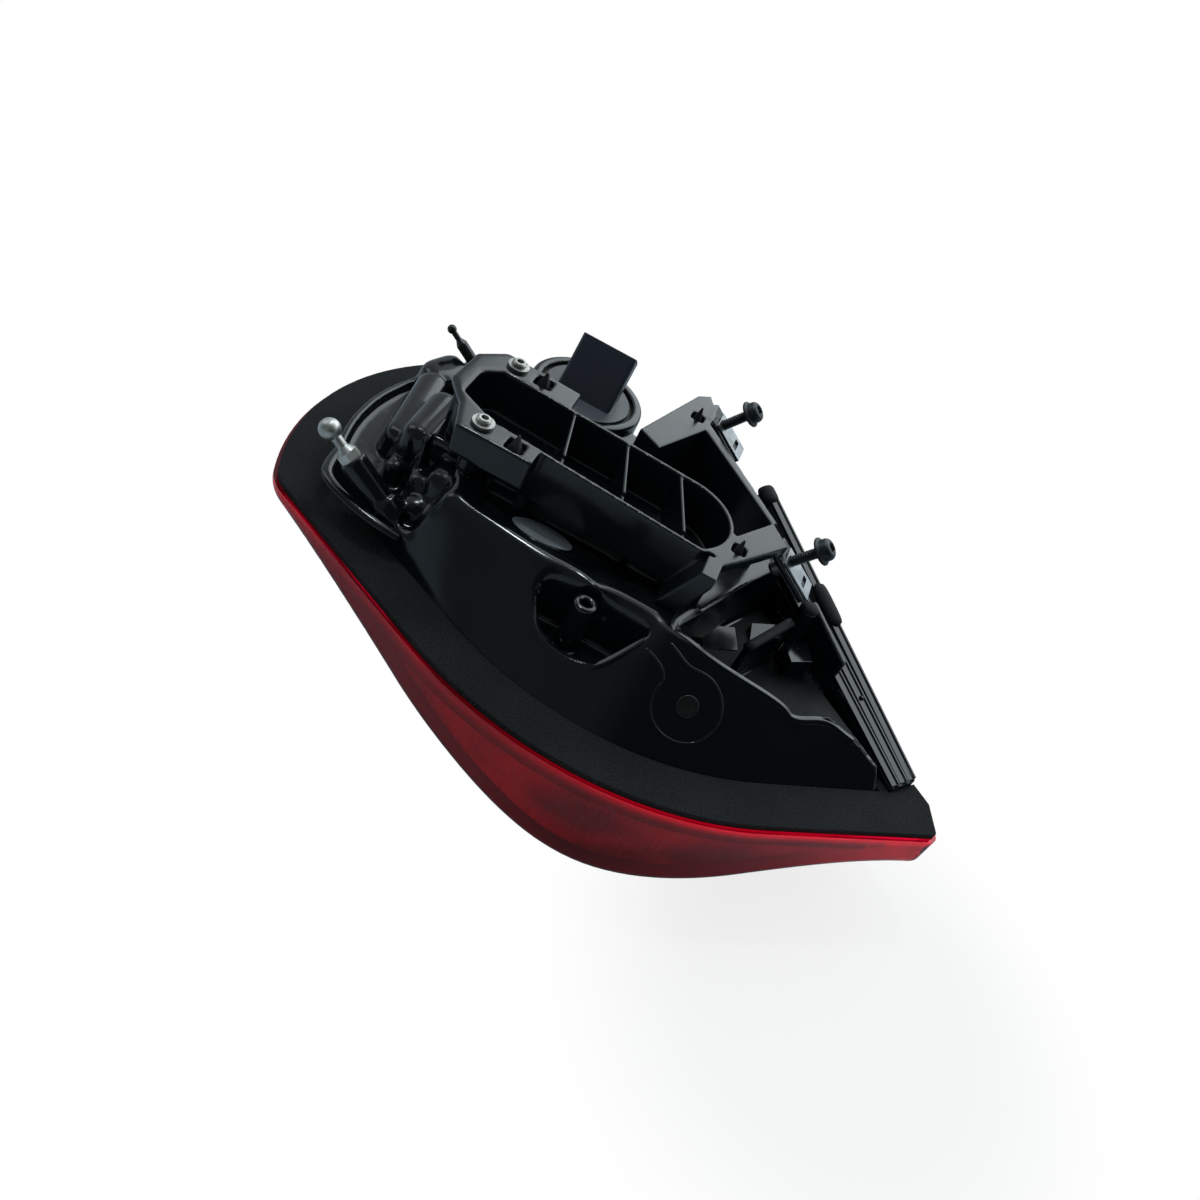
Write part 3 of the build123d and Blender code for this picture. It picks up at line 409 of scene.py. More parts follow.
# Finishes
def moulded_black(name, colour, gloss, edge=0.0, dust_share=0.05):
    """Injection-moulded black plastic: faint flow marks, fine orange peel, haze and settled dust."""
    finish = Finish(name)
    flow = finish.noise(scale=14.0, detail=4.0).rise(0.35, 0.75)
    peel = finish.noise(scale=420.0, detail=1.0)
    up = finish.facing_up().rise(0.72, 0.98)
    dust = finish.specks(scale=520.0, size=0.15, share=dust_share) * up
    haze = finish.noise(scale=70.0, detail=4.0).rise(0.45, 0.8) * up
    base = finish.mix(haze * 0.3, rgb(*colour), rgb(*HAZE))
    base = finish.mix(dust * 0.5, base, rgb(*DUST))
    rough = gloss + 0.08 * flow + 0.1 * haze + 0.3 * dust
    normal = finish.bump(peel, strength=0.04, distance=0.2 * MM, edge=edge)
    return finish.surface(Base_Color=base, Roughness=rough, Normal=normal)


def closed_cell_foam():
    """Dark foam with fine grain, open pores and slightly paler patches."""
    finish = Finish("closed_cell_foam")
    grain = finish.noise(scale=1300.0, detail=3.0, roughness=0.7)
    pores = finish.cells(scale=1000.0)
    patch = finish.noise(scale=30.0, detail=3.0)
    tone = (grain.rise(0.42, 0.66) * 0.8 + patch.rise(0.3, 0.7) * 0.2).clamp()
    base = finish.mix(tone, rgb(*FOAM_PORES), rgb(*FOAM_SKIN))
    rough = 0.8 + 0.15 * grain
    normal = finish.bump(grain * 0.7 + pores * 0.6, strength=0.7, distance=0.6 * MM, edge=0.9 * MM)
    return finish.surface(Base_Color=base, Roughness=rough, Normal=normal, Specular_IOR_Level=0.25)


def tinted_lens():
    """Red clear plastic with a painted glow in its lip, an emission standing in for light piped along it."""
    finish = Finish("tinted_lens")
    haze = finish.noise(scale=20.0, detail=2.0)
    base = finish.mix(haze, rgb(*LENS_DEEP), rgb(*LENS_CLEAR))
    rough = 0.02 + 0.04 * haze
    # Painted glow: emission in the lip under the seal, stronger towards the pointed end, standing in for
    # light piped along the lens
    along = PAINTED_GLOW_LEFT + (1 - PAINTED_GLOW_LEFT) * finish.axis("X").rise(*PAINTED_GLOW_X)
    lip = finish.axis("Z").rise(*PAINTED_GLOW_Z) * along
    glow = finish.mix(lip, rgb(*BLACK), rgb(*PAINTED_LIP_GLOW))
    return finish.surface(
        Base_Color=base, Roughness=rough, IOR=LENS_IOR, Transmission_Weight=1.0, Emission_Color=glow,
        Emission_Strength=1.0)


def clear_optic(name, colour, rough):
    finish = Finish(name)
    wave = finish.noise(scale=80.0, detail=1.0)
    return finish.surface(
        Base_Color=rgb(*colour), Roughness=rough + 0.05 * wave, IOR=OPTIC_IOR, Transmission_Weight=0.9)


def skirt_reflector():
    """Satin reflector behind the lens: broad light and dark fields."""
    finish = Finish("skirt_reflector")
    field = finish.noise(scale=16.0, detail=2.0, stretch=(1.0, 1.0, 2.2))
    base = finish.mix(field.rise(0.35, 0.68), rgb(*SKIRT_DARK), rgb(*SKIRT_PALE))
    return finish.surface(Base_Color=base, Roughness=0.45 + 0.1 * field, Metallic=0.15)


def metal(name, colour, rough, scratch, edge=0.3 * MM):
    """Plain or plated metal with fine drawn lines and darker stains."""
    finish = Finish(name)
    lines = finish.noise(scale=scratch, detail=3.0, stretch=(1.0, 1.0, 0.12))
    stain = finish.noise(scale=130.0, detail=3.0)
    dark = tuple(0.6 * c for c in colour)
    base = finish.mix(stain.rise(0.35, 0.75), rgb(*colour), rgb(*dark))
    normal = finish.bump(lines, strength=0.12, distance=0.2 * MM, edge=edge)
    return finish.surface(Base_Color=base, Metallic=1.0, Roughness=rough + 0.16 * lines, Normal=normal)


def matte(name, colour, rough, grain_scale=700.0, lift=0.2, sheen=0.5):
    """Dull rubber, film or plastic with a fine grain and paler patches."""
    finish = Finish(name)
    grain = finish.noise(scale=grain_scale, detail=2.0)
    patch = finish.noise(scale=40.0, detail=2.0)
    pale = tuple(min(1.0, c * 1.5 + 0.004) for c in colour)
    base = finish.mix(patch.rise(0.3, 0.8), rgb(*colour), rgb(*pale))
    normal = finish.bump(grain, strength=lift, distance=0.2 * MM, edge=0.4 * MM)
    return finish.surface(
        Base_Color=base, Roughness=rough + 0.12 * grain, Normal=normal, Specular_IOR_Level=sheen)


FINISHES = {
    "housing": moulded_black("housing_gloss", (0.0016, 0.0034, 0.0048), gloss=0.1),
    "module_tray": moulded_black("tray_gloss", (0.0024, 0.0044, 0.006), gloss=0.17),
    "connector": moulded_black(
        "connector_gloss", (0.011, 0.016, 0.028), gloss=0.3, edge=0.9 * MM, dust_share=0.02),
    "locating_pin": moulded_black(
        "pin_plastic", (0.006, 0.007, 0.007), gloss=0.25, edge=0.5 * MM, dust_share=0.02),
    "foam_seal": closed_cell_foam(),
    "outer_lens": tinted_lens(),
    "fluted_optic": clear_optic("fluted_red", (0.9, 0.05, 0.07), rough=0.05),
    "light_guide": clear_optic("clear_guide", (0.92, 0.92, 0.94), rough=0.03),
    "skirt": skirt_reflector(),
    "bezel": metal("bezel_silver", (0.42, 0.42, 0.44), rough=0.28, scratch=200.0),
    "reflector_cups": metal("metallised_cup", (0.85, 0.85, 0.87), rough=0.08, scratch=120.0),
    "heat_sink": metal("extruded_aluminium", (0.55, 0.55, 0.56), rough=0.35, scratch=300.0),
    "tray_screws": metal("zinc_screw", (0.42, 0.42, 0.4), rough=0.3, scratch=260.0),
    "edge_screw": metal("zinc_edge_screw", (0.5, 0.5, 0.47), rough=0.3, scratch=260.0),
    "ball_stud": metal("plated_stud", (0.58, 0.59, 0.56), rough=0.32, scratch=260.0),
    "bolts": metal("black_bolt", (0.05, 0.055, 0.06), rough=0.36, scratch=260.0, edge=0.0),
    "clips": metal("spring_sheet", (0.42, 0.44, 0.46), rough=0.25, scratch=400.0),
    "terminals": metal("tinned_pin", (0.6, 0.58, 0.5), rough=0.25, scratch=300.0),
    "led_board": matte("board_mask", (0.012, 0.09, 0.04), rough=0.4),
    "led_packages": matte("led_dome", (0.8, 0.76, 0.5), rough=0.3),
    "board_header": matte("header_cream", (0.6, 0.58, 0.5), rough=0.5),
    "ribbon": matte("ribbon_film", (0.4, 0.22, 0.06), rough=0.35),
    "rubber_stops": matte("stop_rubber", (0.005, 0.0065, 0.007), rough=0.5),
    "connector_seal": matte("ring_rubber", (0.01, 0.01, 0.01), rough=0.6),
    "vent_membrane": matte("vent_membrane", (0.16, 0.18, 0.2), rough=0.55, grain_scale=1500.0, lift=0.35),
    "bay_grain": matte(
        "bay_grain", (0.0025, 0.0035, 0.0045), rough=0.55, grain_scale=900.0, lift=0.3, sheen=0.16),
}
FINISH_OF = {"far_bolt": "bolts", "near_bolt": "bolts", "far_clip_nut": "clips", "near_clip_nut": "clips"}


def give_finish(piece, finish):
    """Gives a piece its finish without touching its mesh."""
    if not piece.material_slots:
        piece.data.materials.append(None)
    for slot in piece.material_slots:
        slot.link = "OBJECT"
        slot.material = FINISHES[finish]


# Pieces and their meshes
def add_piece(name, mesh, slot="housing_black", finish="housing", stands_for=None, smooth=True):
    piece = bpy.data.objects.new(name, mesh)
    bpy.context.scene.collection.objects.link(piece)
    if smooth:
        mesh.shade_smooth()
    else:
        mesh.shade_flat()
    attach(piece, "root")
    if stands_for:
        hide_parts(stands_for)
    give_finish(piece, finish)
    return piece


def rework(mesh, change):
    """Makes one change to a mesh's shell."""
    shell = bmesh.new()
    shell.from_mesh(mesh)
    change(shell)
    shell.to_mesh(mesh)
    shell.free()


def join_close_points(shell):
    bmesh.ops.remove_doubles(shell, verts=shell.verts, dist=WELD)
    bmesh.ops.recalc_face_normals(shell, faces=shell.faces)


def face_outward(shell):
    """Turns a closed shell inside out where its faces point inward."""
    if shell.calc_volume(signed=True) < 0:
        bmesh.ops.reverse_faces(shell, faces=shell.faces)


def add_tube(name, rings, **look):
    """Piece made of a closed tube through rings of equal length, with flat ends."""
    count = len(rings[0])
    points = [tuple(point) for ring in rings for point in ring]
    faces = []
    for k in range(len(rings) - 1):
        for i in range(count):
            j = (i + 1) % count
            faces.append((k * count + i, k * count + j, (k + 1) * count + j, (k + 1) * count + i))
    faces.append(tuple(reversed(range(count))))
    faces.append(tuple(range((len(rings) - 1) * count, len(rings) * count)))
    mesh = bpy.data.meshes.new(name)
    mesh.from_pydata(points, [], faces)
    mesh.validate()
    rework(mesh, face_outward)
    return add_piece(name, mesh, **look)


def soften(piece, width, segments):
    """Rounds a piece's edges."""
    bevel = piece.modifiers.new("soft_edges", "BEVEL")
    bevel.width = width
    bevel.segments = segments


def turns(count):
    """Angles of a full turn in equal steps."""
    return [tau * i / count for i in range(count)]


def heading(path, k):
    """Direction of a path at its point k."""
    return (path[min(k + 1, len(path) - 1)] - path[max(k - 1, 0)]).normalized()


def leftward(along):
    """Level direction to the left of a heading."""
    return Vector((-along.y, along.x, 0))


def smooth_path(points, steps):
    """Points along a smooth curve through the given ones."""
    ends = [2 * points[0] - points[1]] + points + [2 * points[-1] - points[-2]]
    path = []
    for p0, p1, p2, p3 in zip(ends, ends[1:], ends[2:], ends[3:]):
        for k in range(steps):
            t = k / steps
            path.append(0.5 * (2 * p1 + (p2 - p0) * t + (2 * p0 - 5 * p1 + 4 * p2 - p3) * t**2
                               + (3 * p1 - p0 - 3 * p2 + p3) * t**3))
    return path + [points[-1]]


def bead_rings(path, normals, radius, sides):
    """Rings of a bead along a path, wider than it is high."""
    rings = []
    for k, at in enumerate(path):
        along = heading(path, k)
        side = along.cross(normals[k]).normalized()
        up = side.cross(along)
        rings.append([at + radius * (cos(a) * side * BEAD_WIDTH + sin(a) * up) for a in turns(sides)])
    return rings


# Where the moulded skins are rounded more: weights from 0 to 1 at each point
def blend(value):
    return np.clip(value / SOFT_BLEND, 0, 1)


def everywhere(points):
    return np.ones(len(points))


def on_rail(points):
    """1 on the rail under its strips, 0 away from it."""
    start, end = np.array(RAIL_FROM), np.array(RAIL_TO)
    along = (end - start) / np.linalg.norm(end - start)
    inward = (points[:, :2] - start) @ np.array((-along[1], along[0]))
    return blend(RAIL_WIDTH - np.abs(inward)) * blend(points[:, 2] - RAIL_LOW)


def off_tower(points):
    """0 on the ball stud's tower, 1 away from it."""
    stud = mounts["ball_stud"]
    away = points - np.array(stud["pos_m"])
    axis = np.array(stud["axis"])
    off_axis = np.linalg.norm(away - np.outer(away @ axis, axis), axis=1)
    return np.clip((off_axis - TOWER_CLEAR) / TOWER_BLEND, 0, 1)


def lobe_area(points):
    return blend(LOBES_END_X - points[:, 0]) * blend(points[:, 1] - LOBES_NEAR_Y)


def left_lobes(points):
    """1 on the lobes at the left end, 0 on the tower among them."""
    return lobe_area(points) * off_tower(points)


def soft_lips(points):
    """1 on the lips of the near slope and trench, 0 on lobes, tower, boss, bay and rail."""
    off_boss = np.linalg.norm(points[:, :2] - np.array(POCKET_BOSS_AT), axis=1)
    far_y = np.interp(points[:, 0], BAY_START_X, (TRENCH_FAR_Y, BAY_EDGE_Y))
    soft = blend(far_y - points[:, 1]) * (1 - lobe_area(points)) * (1 - on_rail(points))
    return soft * off_tower(points) * blend(off_boss - POCKET_BOSS_CLEAR)


def soft_ridge(points):
    """1 on the upper part of the soft lips."""
    return soft_lips(points) * blend(points[:, 2] - RIDGE_LOW)


def tray_end(points):
    return blend(TRAY_END_X - points[:, 0])


# Moulded skins: closed, with edges and inner corners softly rounded
def relax(points, edges, weight, passes):
    """Moves each point towards the mean of its neighbours."""
    touched = (weight[edges] > 0).any(axis=1)
    used, ends = np.unique(edges[touched], return_inverse=True)
    a, b = ends.reshape(-1, 2).T
    count = len(used)
    part = points[used]
    pull = PULL * weight[used, None]
    degree = np.bincount(a, minlength=count) + np.bincount(b, minlength=count)
    for _ in range(passes):
        mean = np.empty_like(part)
        for k in range(3):
            total = np.bincount(a, part[b, k], count) + np.bincount(b, part[a, k], count)
            mean[:, k] = total / degree
        part += pull * (mean - part)
    points[used] = part


def finished_mesh(piece):
    """Mesh of a piece with its modifiers applied."""
    return bpy.data.meshes.new_from_object(piece.evaluated_get(bpy.context.evaluated_depsgraph_get()))


def mesh_values(items, field, width, kind):
    """One field of a mesh's points or edges as an array."""
    values = np.empty(len(items) * width, dtype=kind)
    items.foreach_get(field, values)
    return values.reshape(-1, width)


def moulded_skin(node, slot, grid, roundings):
    """Skin of a node on a fine grid, rounded and then thinned to the triangle limit."""
    mesh = nodes[node].data.copy()
    rework(mesh, join_close_points)
    rough = bpy.data.objects.new(node + "_grid", mesh)
    bpy.context.scene.collection.objects.link(rough)
    remesh = rough.modifiers.new("grid", "REMESH")
    remesh.mode = "VOXEL"
    remesh.voxel_size = grid
    fine = finished_mesh(rough)
    points = mesh_values(fine.vertices, "co", 3, float)
    edges = mesh_values(fine.edges, "vertices", 2, np.int32)
    for weight, passes in roundings:
        relax(points, edges, weight(points), passes)
    fine.vertices.foreach_set("co", points.ravel())
    rough.modifiers.clear()
    rough.data = fine
    thin = rough.modifiers.new("thin", "DECIMATE")
    thin.ratio = min(1.0, SKIN_LIMIT / (2 * len(fine.polygons)))
    skin = finished_mesh(rough)
    skin.materials.clear()
    bpy.data.objects.remove(rough)
    piece = add_piece(node + "_skin", skin, slot, node, node)
    piece.modifiers.new("flat_faces_lead", "WEIGHTED_NORMAL")
    return piece


# Gate mark and lips that follow the housing's surface
def drop(tree, x, y):
    """Point of the housing under x, y with its normal."""
    at, normal, _, _ = tree.ray_cast(Vector((x, y, cad_box[1].z)), -UP)
    return at, normal


def gate_line(tree, normal):
    level = Vector((-normal.y, normal.x, 0)).normalized()
    uphill = Vector((-normal.x, -normal.y, 0)).normalized()
    middle = Vector((*GATE_AT, 0))
    start, end = GATE_OPEN[1], GATE_OPEN[0] + tau
    angles = [start + (end - start) * k / GATE_RING_STEPS for k in range(GATE_RING_STEPS + 1)]
    ring = [middle + GATE_RING * (cos(a) * level + SLOPE_LEAN * sin(a) * uphill) for a in angles]
    left = [Vector((*at, 0)) for at in reversed(GATE_NECK_LEFT)]
    right = [Vector((*at, 0)) for at in GATE_NECK_RIGHT]
    dropped = [drop(tree, at.x, at.y) for at in smooth_path(left + ring + right, GATE_LINE_STEPS)]
    path, normals = zip(*dropped)
    add_tube("gate_line", bead_rings(path, normals, GATE_LINE, GATE_LINE_SIDES))


def gate_pad(centre, normal):
    side = normal.orthogonal().normalized()
    other = normal.cross(side)
    rings = []
    for share, lift in GATE_PAD_PROFILE:
        middle = centre + GATE_RISE * lift * normal
        rings.append([
            middle + GATE_PAD * share * (cos(a) * side + sin(a) * other) for a in turns(GATE_PAD_SIDES)])
    add_tube("gate_pad", rings, finish="locating_pin")


def gate_mark(tree):
    centre, normal = drop(tree, *GATE_AT)
    gate_line(tree, normal)
    gate_pad(centre, normal)


def lip_strip(name, tree, corners):
    """Flat-topped lip that follows the edge of a recess."""
    path = smooth_path([Vector((x * MM, y * MM, 0)) for x, y in corners], LIP_STEPS)
    heights = np.array([drop(tree, at.x, at.y)[0].z for at in path])
    window = 2 * LIP_AVERAGE + 1
    heights = np.convolve(np.pad(heights, LIP_AVERAGE, mode="edge"), np.ones(window) / window, mode="valid")
    rings = []
    for k, at in enumerate(path):
        side = leftward(heading(path, k))
        middle = Vector((at.x, at.y, heights[k]))
        rings.append([middle + MM * (out * side + lift * UP) for out, lift in LIP_PROFILE])
    soften(add_tube(name, rings), *SOFT_EDGE)


def rounded_lip(name, corners, radius, finish="housing"):
    """Round bead through the given points."""
    path = smooth_path([MM * Vector(corner) for corner in corners], LIP_STEPS)
    add_tube(name, bead_rings(path, [UP] * len(path), radius, ROUND_LIP_SIDES), finish=finish)


# Rail
def rail_frame():
    """Start of the rail's edge, its direction and the way into the lamp."""
    start = Vector((*RAIL_FROM, 0))
    along = (Vector((*RAIL_TO, 0)) - start).normalized()
    return start, along, leftward(along)


def rail_point(run, inner, lift):
    start, along, inward = rail_frame()
    return start + along * run + inward * inner + UP * (RAIL_RISE * run + lift)


def fence_foot():
    """Bead at the foot of the fence between rail and bay floor."""
    start, along, inward = rail_frame()
    near, far = FENCE_FOOT
    low, high = FENCE_FOOT_Z
    section = ((near, low), (far, low), (far, high), (near, high))
    rings = [[start + along * run + inward * d + UP * z for d, z in section] for run in FENCE_FOOT_SPAN]
    add_tube("fence_foot", rings, smooth=False)


def rail_strips():
    start, along, inward = rail_frame()
    ridge_wide, ridge_high = RAIL_RIDGE
    for k in range(RAIL_STRIPS):
        outer = RAIL_OUTER + RAIL_STRIP * k
        inner = outer + RAIL_STRIP - RAIL_GROOVE
        profile = (
            (outer, -RAIL_STRIP_DEEP), (inner, -RAIL_STRIP_DEEP), (inner, 0), (outer + ridge_wide, 0),
            (outer + ridge_wide, ridge_high), (outer, ridge_high))
        rings = []
        for run in RAIL_RUN:
            top = RAIL_RISE * (1 - RAIL_STEP_FALL * k) * run + RAIL_LIFT
            rings.append([start + along * run + inward * d + UP * (top + h) for d, h in profile])
        soften(add_tube(f"rail_strip_{k + 1}", rings, smooth=False), *RAIL_EDGE)


def rail_bumpers():
    """Rubber bumpers with rounded ends, level with the rail's slope."""
    _, along, inward = rail_frame()
    slope = (along + UP * RAIL_RISE).normalized()
    up = slope.cross(inward)
    for k, (place, (length, width, height)) in enumerate(zip(RAIL_BUMPERS, BUMPER_SIZES)):
        rings = []
        for i in range(-BUMPER_RINGS, BUMPER_RINGS + 1):
            t = BUMPER_TIP * i / BUMPER_RINGS
            swell = (1 - abs(t) ** BUMPER_SQUARE) ** (1 / BUMPER_SQUARE) / 2
            middle = rail_point(*place) + slope * (t * length / 2)
            wide, high = width * swell * inward, height * swell * up
            rings.append([middle + cos(a) * wide + sin(a) * high for a in turns(ROUND_SIDES)])
        add_tube(f"rail_bumper_{k + 1}", rings, slot="stop_rubber", finish="bay_grain")


# Bay and vent
def dome(name, foot, radius, height, finish):
    """Low dome on a round end."""
    rings = []
    for k in range(DOME_RINGS):
        turn = pi / 2 * k / (DOME_RINGS - DOME_FLAT)
        out, lift = radius * cos(turn), height * sin(turn)
        rings.append([foot + Vector((out * cos(a), out * sin(a), lift)) for a in turns(ROUND_SIDES)])
    add_tube(name, rings, finish=finish)


def bay_block(name, corners, finish="housing"):
    """Block on the bay floor, each corner with its own height."""
    top = [MM * Vector(corner) for corner in corners]
    foot = [Vector((corner.x, corner.y, MM * BAY_FLOOR)) for corner in top]
    soften(add_tube(name, [foot, top], finish=finish, smooth=False), *SOFT_EDGE)


def vent_lip():
    """Ring round the vent's disc, square to its axis."""
    tops = [face for face in nodes["vent_membrane"].data.polygons if face.normal.z > FACES_UP]
    axis = sum((face.normal * face.area for face in tops), Vector()).normalized()
    low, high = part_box("vent_membrane")
    bpy.ops.mesh.primitive_torus_add(
        major_radius=VENT_LIP_R, minor_radius=VENT_LIP_TUBE, major_segments=VENT_LIP_SIDES,
        minor_segments=VENT_TUBE_SIDES)
    ring = bpy.context.object
    mesh = ring.data.copy()
    bpy.data.objects.remove(ring)
    turn = axis.to_track_quat("Z", "Y").to_matrix().to_4x4()
    mesh.transform(Matrix.Translation((low + high) / 2) @ turn)
    add_piece("vent_lip", mesh)


# Bolts with cut threads, flange and socketed head
def thread_radius(z, angle):
    phase = (z / THREAD_PITCH - angle / tau) % 1.0
    return BOLT_R - THREAD_DEPTH * (1 - abs(2 * phase - 1)) ** THREAD_SHARPNESS


def socket_radius(angle):
    return BOLT_SOCKET_R * (1 + SOCKET_WAVE * cos(SOCKET_LOBES * angle))


def threaded_bolt(node):
    place = Vector(mounts[node]["pos_m"])
    axis = Vector(mounts[node]["axis"]).normalized()
    side = axis.orthogonal().normalized()
    other = axis.cross(side)
    angles = turns(BOLT_SIDES)

    def ring(z, radii):
        return [place + axis * z + r * (cos(a) * side + sin(a) * other) for a, r in zip(angles, radii)]

    length = BOLT_TAIL + BOLT_REACH
    rows = int(length / THREAD_PITCH * THREAD_ROWS)
    rings = []
    for k in range(rows + 1):
        z = -BOLT_TAIL + length * k / rows
        rings.append(ring(z, [thread_radius(z, a) for a in angles]))
    seat = BOLT_REACH + BOLT_FLANGE
    top = BOLT_REACH + BOLT_HEAD
    outline = (
        (BOLT_REACH, BOLT_FLANGE_R, FLANGE_FOOT), (seat, BOLT_FLANGE_R, FLANGE_TOP),
        (seat, BOLT_HEAD_R, HEAD_FOOT), (top, BOLT_HEAD_R, HEAD_TOP))
    for level, radius, steps in outline:
        for lift, out in steps:
            rings.append(ring(level + lift * MM, [radius + out * MM] * BOLT_SIDES))
    for z in (top, top - BOLT_SOCKET):
        rings.append(ring(z, [socket_radius(a) for a in angles]))
    add_tube(node + "_threaded", rings, slot="bolt_steel", finish="bolts", stands_for=node)


# Inside the lens
def outline_loop(node):
    """Outer loop of a flat-topped piece's top face, in order."""
    mesh = nodes[node].data
    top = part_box(node)[1].z
    links = set()
    for face in mesh.polygons:
        corners = [mesh.vertices[i].co for i in face.vertices]
        if face.normal.z > FACES_UP and all(corner.z > top - TOP_DEPTH for corner in corners):
            keys = [tuple(round(c / MM, 2) for c in corner[:2]) for corner in corners]
            links.update(zip(keys, keys[1:] + keys[:1]))
    border = {a: b for a, b in links if (b, a) not in links}
    first = min(border)
    loop = [first]
    while border[loop[-1]] != first:
        loop.append(border[loop[-1]])
    return [Vector((x * MM, y * MM)) for x, y in loop]


def fluted_band():
    """Band of the optic with upright flutes cut into its outline."""
    loop = outline_loop("fluted_optic")
    low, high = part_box("fluted_optic")
    path = []
    run = 0.0
    for a, b in zip(loop, loop[1:] + loop[:1]):
        length = (b - a).length
        steps = max(1, int(length / (FLUTE_PITCH / FLUTE_STEPS)))
        out = Vector((b.y - a.y, a.x - b.x)).normalized()
        for k in range(steps):
            s = run + length * k / steps
            wave = abs(sin(pi * s / FLUTE_PITCH))
            path.append(a.lerp(b, k / steps) - out * FLUTE_DEPTH * (1 - wave))
        run += length
    rings = [[Vector((*p, z)) for p in path] for z in (low.z, high.z)]
    add_tube("fluted_band", rings, slot="optic_red", finish="fluted_optic", stands_for="fluted_optic")


def lens_skirt():
    """Reflector skirt that follows the near wall of the lens."""
    lens = BVHTree.FromObject(nodes["outer_lens"], bpy.context.evaluated_depsgraph_get())
    near_y = cad_box[0].y - CLEAR_OF_PART
    low_z = cad_box[0].z - CLEAR_OF_PART
    left, right = SKIRT_SPAN
    count = int((right - left) / SKIRT_STEP)
    wall = []
    for k in range(count + 1):
        x = left + (right - left) * k / count
        wall.append(lens.ray_cast(Vector((x, near_y, SKIRT_TOP)), Vector((0, 1, 0)))[0])
    rings = []
    for k, at in enumerate(wall):
        inward = leftward(heading(wall, k))
        wave = abs(sin(pi * at.x / FLUTE_PITCH))
        front = at + inward * (SKIRT_IN + SKIRT_FLUTE * wave)
        back = at + inward * (SKIRT_IN + SKIRT_FLUTE + SKIRT_THICK)
        floor = lens.ray_cast(Vector((front.x, front.y, low_z)), UP)[0]
        foot = min(floor.z + SKIRT_FLOOR, SKIRT_TOP - SKIRT_LEAST)
        rings.append([front, back, Vector((back.x, back.y, foot)), Vector((front.x, front.y, foot))])
    add_tube("lens_skirt", rings, slot="reflector", finish="skirt", smooth=False)


# Stage: pale floor, white surroundings, soft lamps and the camera
def pale_floor():
    bpy.ops.mesh.primitive_plane_add(size=FLOOR_SIZE, location=(0, 0, cad_box[0].z - FLOOR_GAP))
    floor = bpy.context.object
    floor.name = "floor"
    finish = Finish("pale_floor")
    ends = {0: finish.place(), 1: SHADOW_AT}
    away = finish.node("ShaderNodeVectorMath", {"operation": "DISTANCE"}, ends, "Value")
    white_share = FLOOR_WHITE + (1 - FLOOR_WHITE) * away.rise(*SHADOW_FADE)
    mirrored = finish.path("Is Glossy Ray") * (1 - finish.path("Is Transmission Ray"))
    pale = finish.node("ShaderNodeBsdfDiffuse", None, {"Color": rgb(*[FLOOR_GREY] * 3)})
    dim = finish.node("ShaderNodeBsdfDiffuse", None, {"Color": rgb(*FLOOR_MIRRORED)})
    white = finish.node("ShaderNodeEmission", None, {"Color": rgb(*WHITE), "Strength": 1.0})
    lit = finish.blend_shaders(mirrored, pale, dim)
    share = finish.path("Is Camera Ray") * white_share
    floor.data.materials.append(finish.done(finish.blend_shaders(share, lit, white)))


def surroundings():
    """White to the camera, a room with a bright far side in reflections, even light elsewhere."""
    finish = Finish("studio", world=True)
    seen = finish.path("Is Camera Ray")
    plain_view = (seen + finish.path("Is Transmission Ray")).clamp()
    mirrored = finish.path("Is Glossy Ray")
    way = finish.node("ShaderNodeTexCoord", output="Generated")
    left = 0 - finish.axis("X", way)
    bright = finish.axis("Y", way).rise(*FAR_SIDE) * (1 - FAR_SIDE_DIMMED * left.rise(*FAR_SIDE_LEFT))
    puffs = {"Vector": way, "Scale": CLOUD_SCALE, "Detail": CLOUD_DETAIL}
    cloud = finish.node("ShaderNodeTexNoise", None, puffs).rise(*CLOUD_EDGE)
    glow = ROOM_GLOW * left.rise(*ROOM_GLOW_LEFT) * (CLOUD_LEAST + (1 - CLOUD_LEAST) * cloud)
    room = ROOM_DARK + glow
    backdrop = room + (1.0 - room) * bright
    level = mirrored * backdrop + (1 - mirrored) * SKY_LEVEL
    strength = plain_view + (1 - plain_view) * level
    room_light = finish.node("ShaderNodeBackground", None, {"Color": rgb(*COOL_LIGHT), "Strength": strength})
    white = finish.node("ShaderNodeBackground", None, {"Color": rgb(*WHITE), "Strength": 1.0})
    bpy.context.scene.world = finish.done(finish.blend_shaders(seen, room_light, white))


def soft_lamp(name, at, size, radiance):
    data = bpy.data.lights.new(name, "AREA")
    data.shape = "RECTANGLE"
    data.size, data.size_y = size
    data.energy = radiance * pi * size[0] * size[1]
    data.color = COOL_LIGHT
    lamp = bpy.data.objects.new(name, data)
    bpy.context.scene.collection.objects.link(lamp)
    lamp.location = at
    lamp.rotation_euler = (LAMPS_AIM - Vector(at)).to_track_quat("-Z", "Y").to_euler()


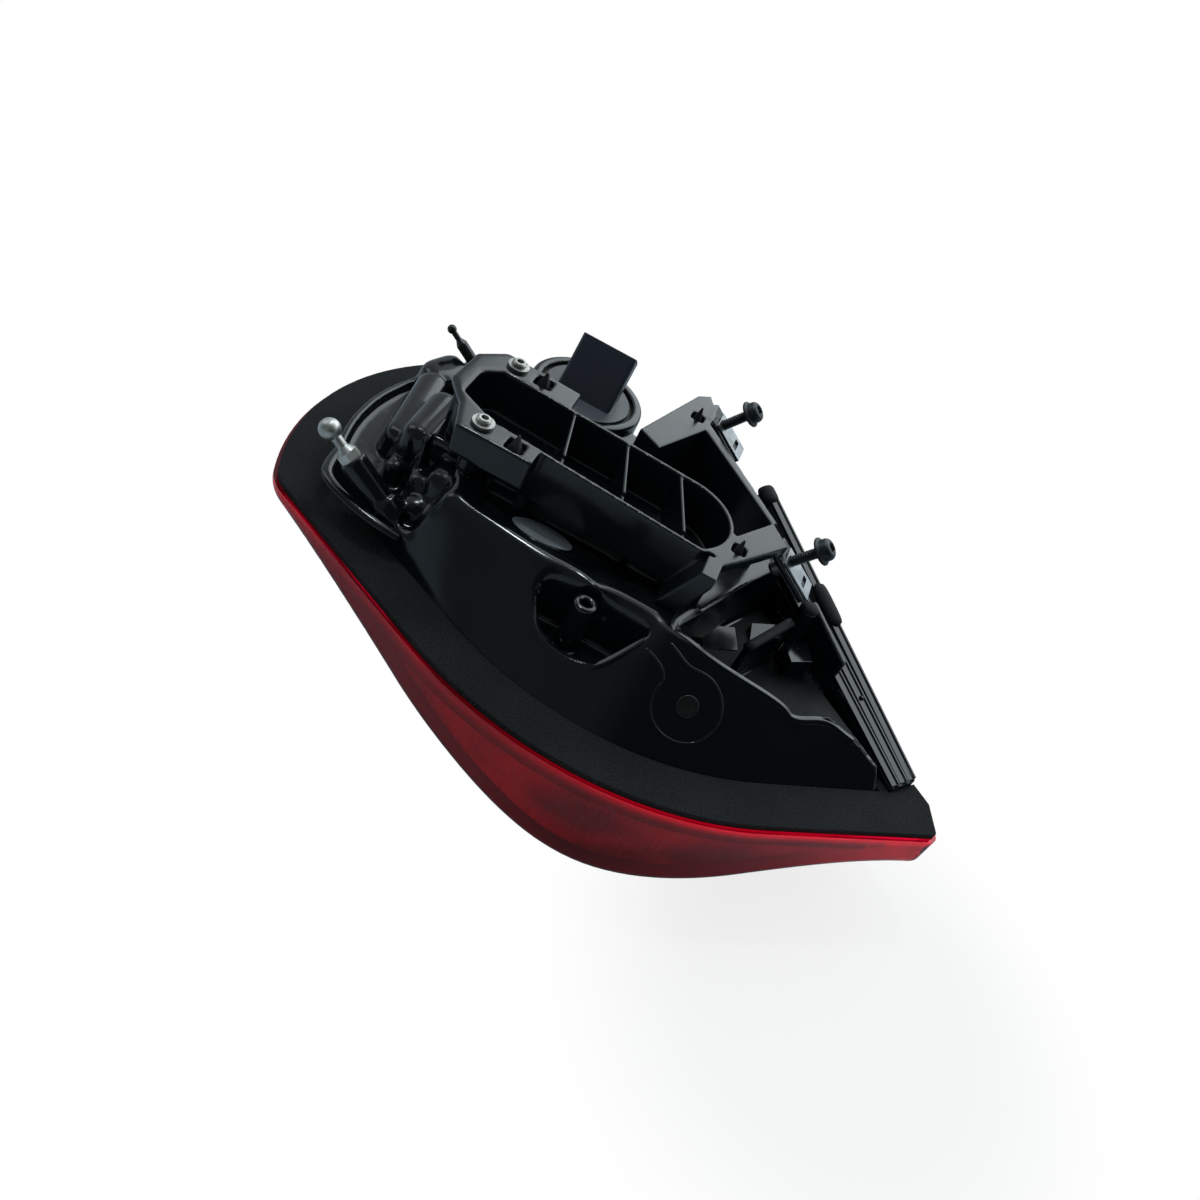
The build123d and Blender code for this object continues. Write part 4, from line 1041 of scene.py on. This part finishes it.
def photo_camera():
    level_right = Vector((1, 0, 0))
    level_up = Vector((0, sin(CAMERA_ELEVATION), cos(CAMERA_ELEVATION)))
    back = Vector((0, -cos(CAMERA_ELEVATION), sin(CAMERA_ELEVATION)))
    right = cos(CAMERA_ROLL) * level_right + sin(CAMERA_ROLL) * level_up
    up = cos(CAMERA_ROLL) * level_up - sin(CAMERA_ROLL) * level_right
    data = bpy.data.cameras.new("photo_camera")
    data.sensor_width = CAMERA_SENSOR
    data.lens = CAMERA_LENS
    data.clip_start = CAMERA_NEAR
    camera = bpy.data.objects.new("photo_camera", data)
    bpy.context.scene.collection.objects.link(camera)
    turn = Matrix((right, up, back)).transposed()
    camera.matrix_world = Matrix.Translation(CAMERA_AT) @ turn.to_4x4()
    bpy.context.scene.camera = camera


# The lamp
for node, piece in nodes.items():
    give_finish(piece, FINISH_OF.get(node, node))
housing_skin = moulded_skin(
    "housing", "housing_black", HOUSING_GRID,
    [(everywhere, ROUNDING), (on_rail, RAIL_ROUNDING), (left_lobes, LOBE_ROUNDING), (soft_lips, LIP_ROUNDING),
     (soft_ridge, RIDGE_ROUNDING)])
moulded_skin("module_tray", "tray_black", TRAY_GRID, [(everywhere, ROUNDING), (tray_end, TRAY_END_ROUNDING)])
housing_tree = BVHTree.FromObject(housing_skin, bpy.context.evaluated_depsgraph_get())
gate_mark(housing_tree)
lip_strip("pocket_lip", housing_tree, POCKET_LIP)
lip_strip("bay_lip", housing_tree, BAY_LIP)
fence_foot()
rail_strips()
rounded_lip("rim_lip", RIM_LIP, RIM_LIP_R)
rounded_lip("rib_cap", RIB_CAP, RIB_CAP_R, "bay_grain")
rail_bumpers()
dome("post_dome", POST_DOME_AT, POST_DOME_R, POST_DOME_H, "bay_grain")
dome("rail_boss", rail_point(*RAIL_BOSS), RAIL_BOSS_R, RAIL_BOSS_R, "housing")
bay_block("bay_floor", [(x, y, BAY_GRAIN_TOP) for x, y in BAY_GRAIN], "bay_grain")
bay_block("bay_block", BAY_BLOCK)
bay_block("bay_ramp_left", BAY_RAMP_LEFT)
bay_block("bay_ramp_far", BAY_RAMP_FAR)
vent_lip()
threaded_bolt("far_bolt")
threaded_bolt("near_bolt")
fluted_band()
lens_skirt()

# The studio
pale_floor()
surroundings()
for lamp in LAMPS:
    soft_lamp(*lamp)
photo_camera()
bpy.context.scene.view_settings.view_transform = "Standard"
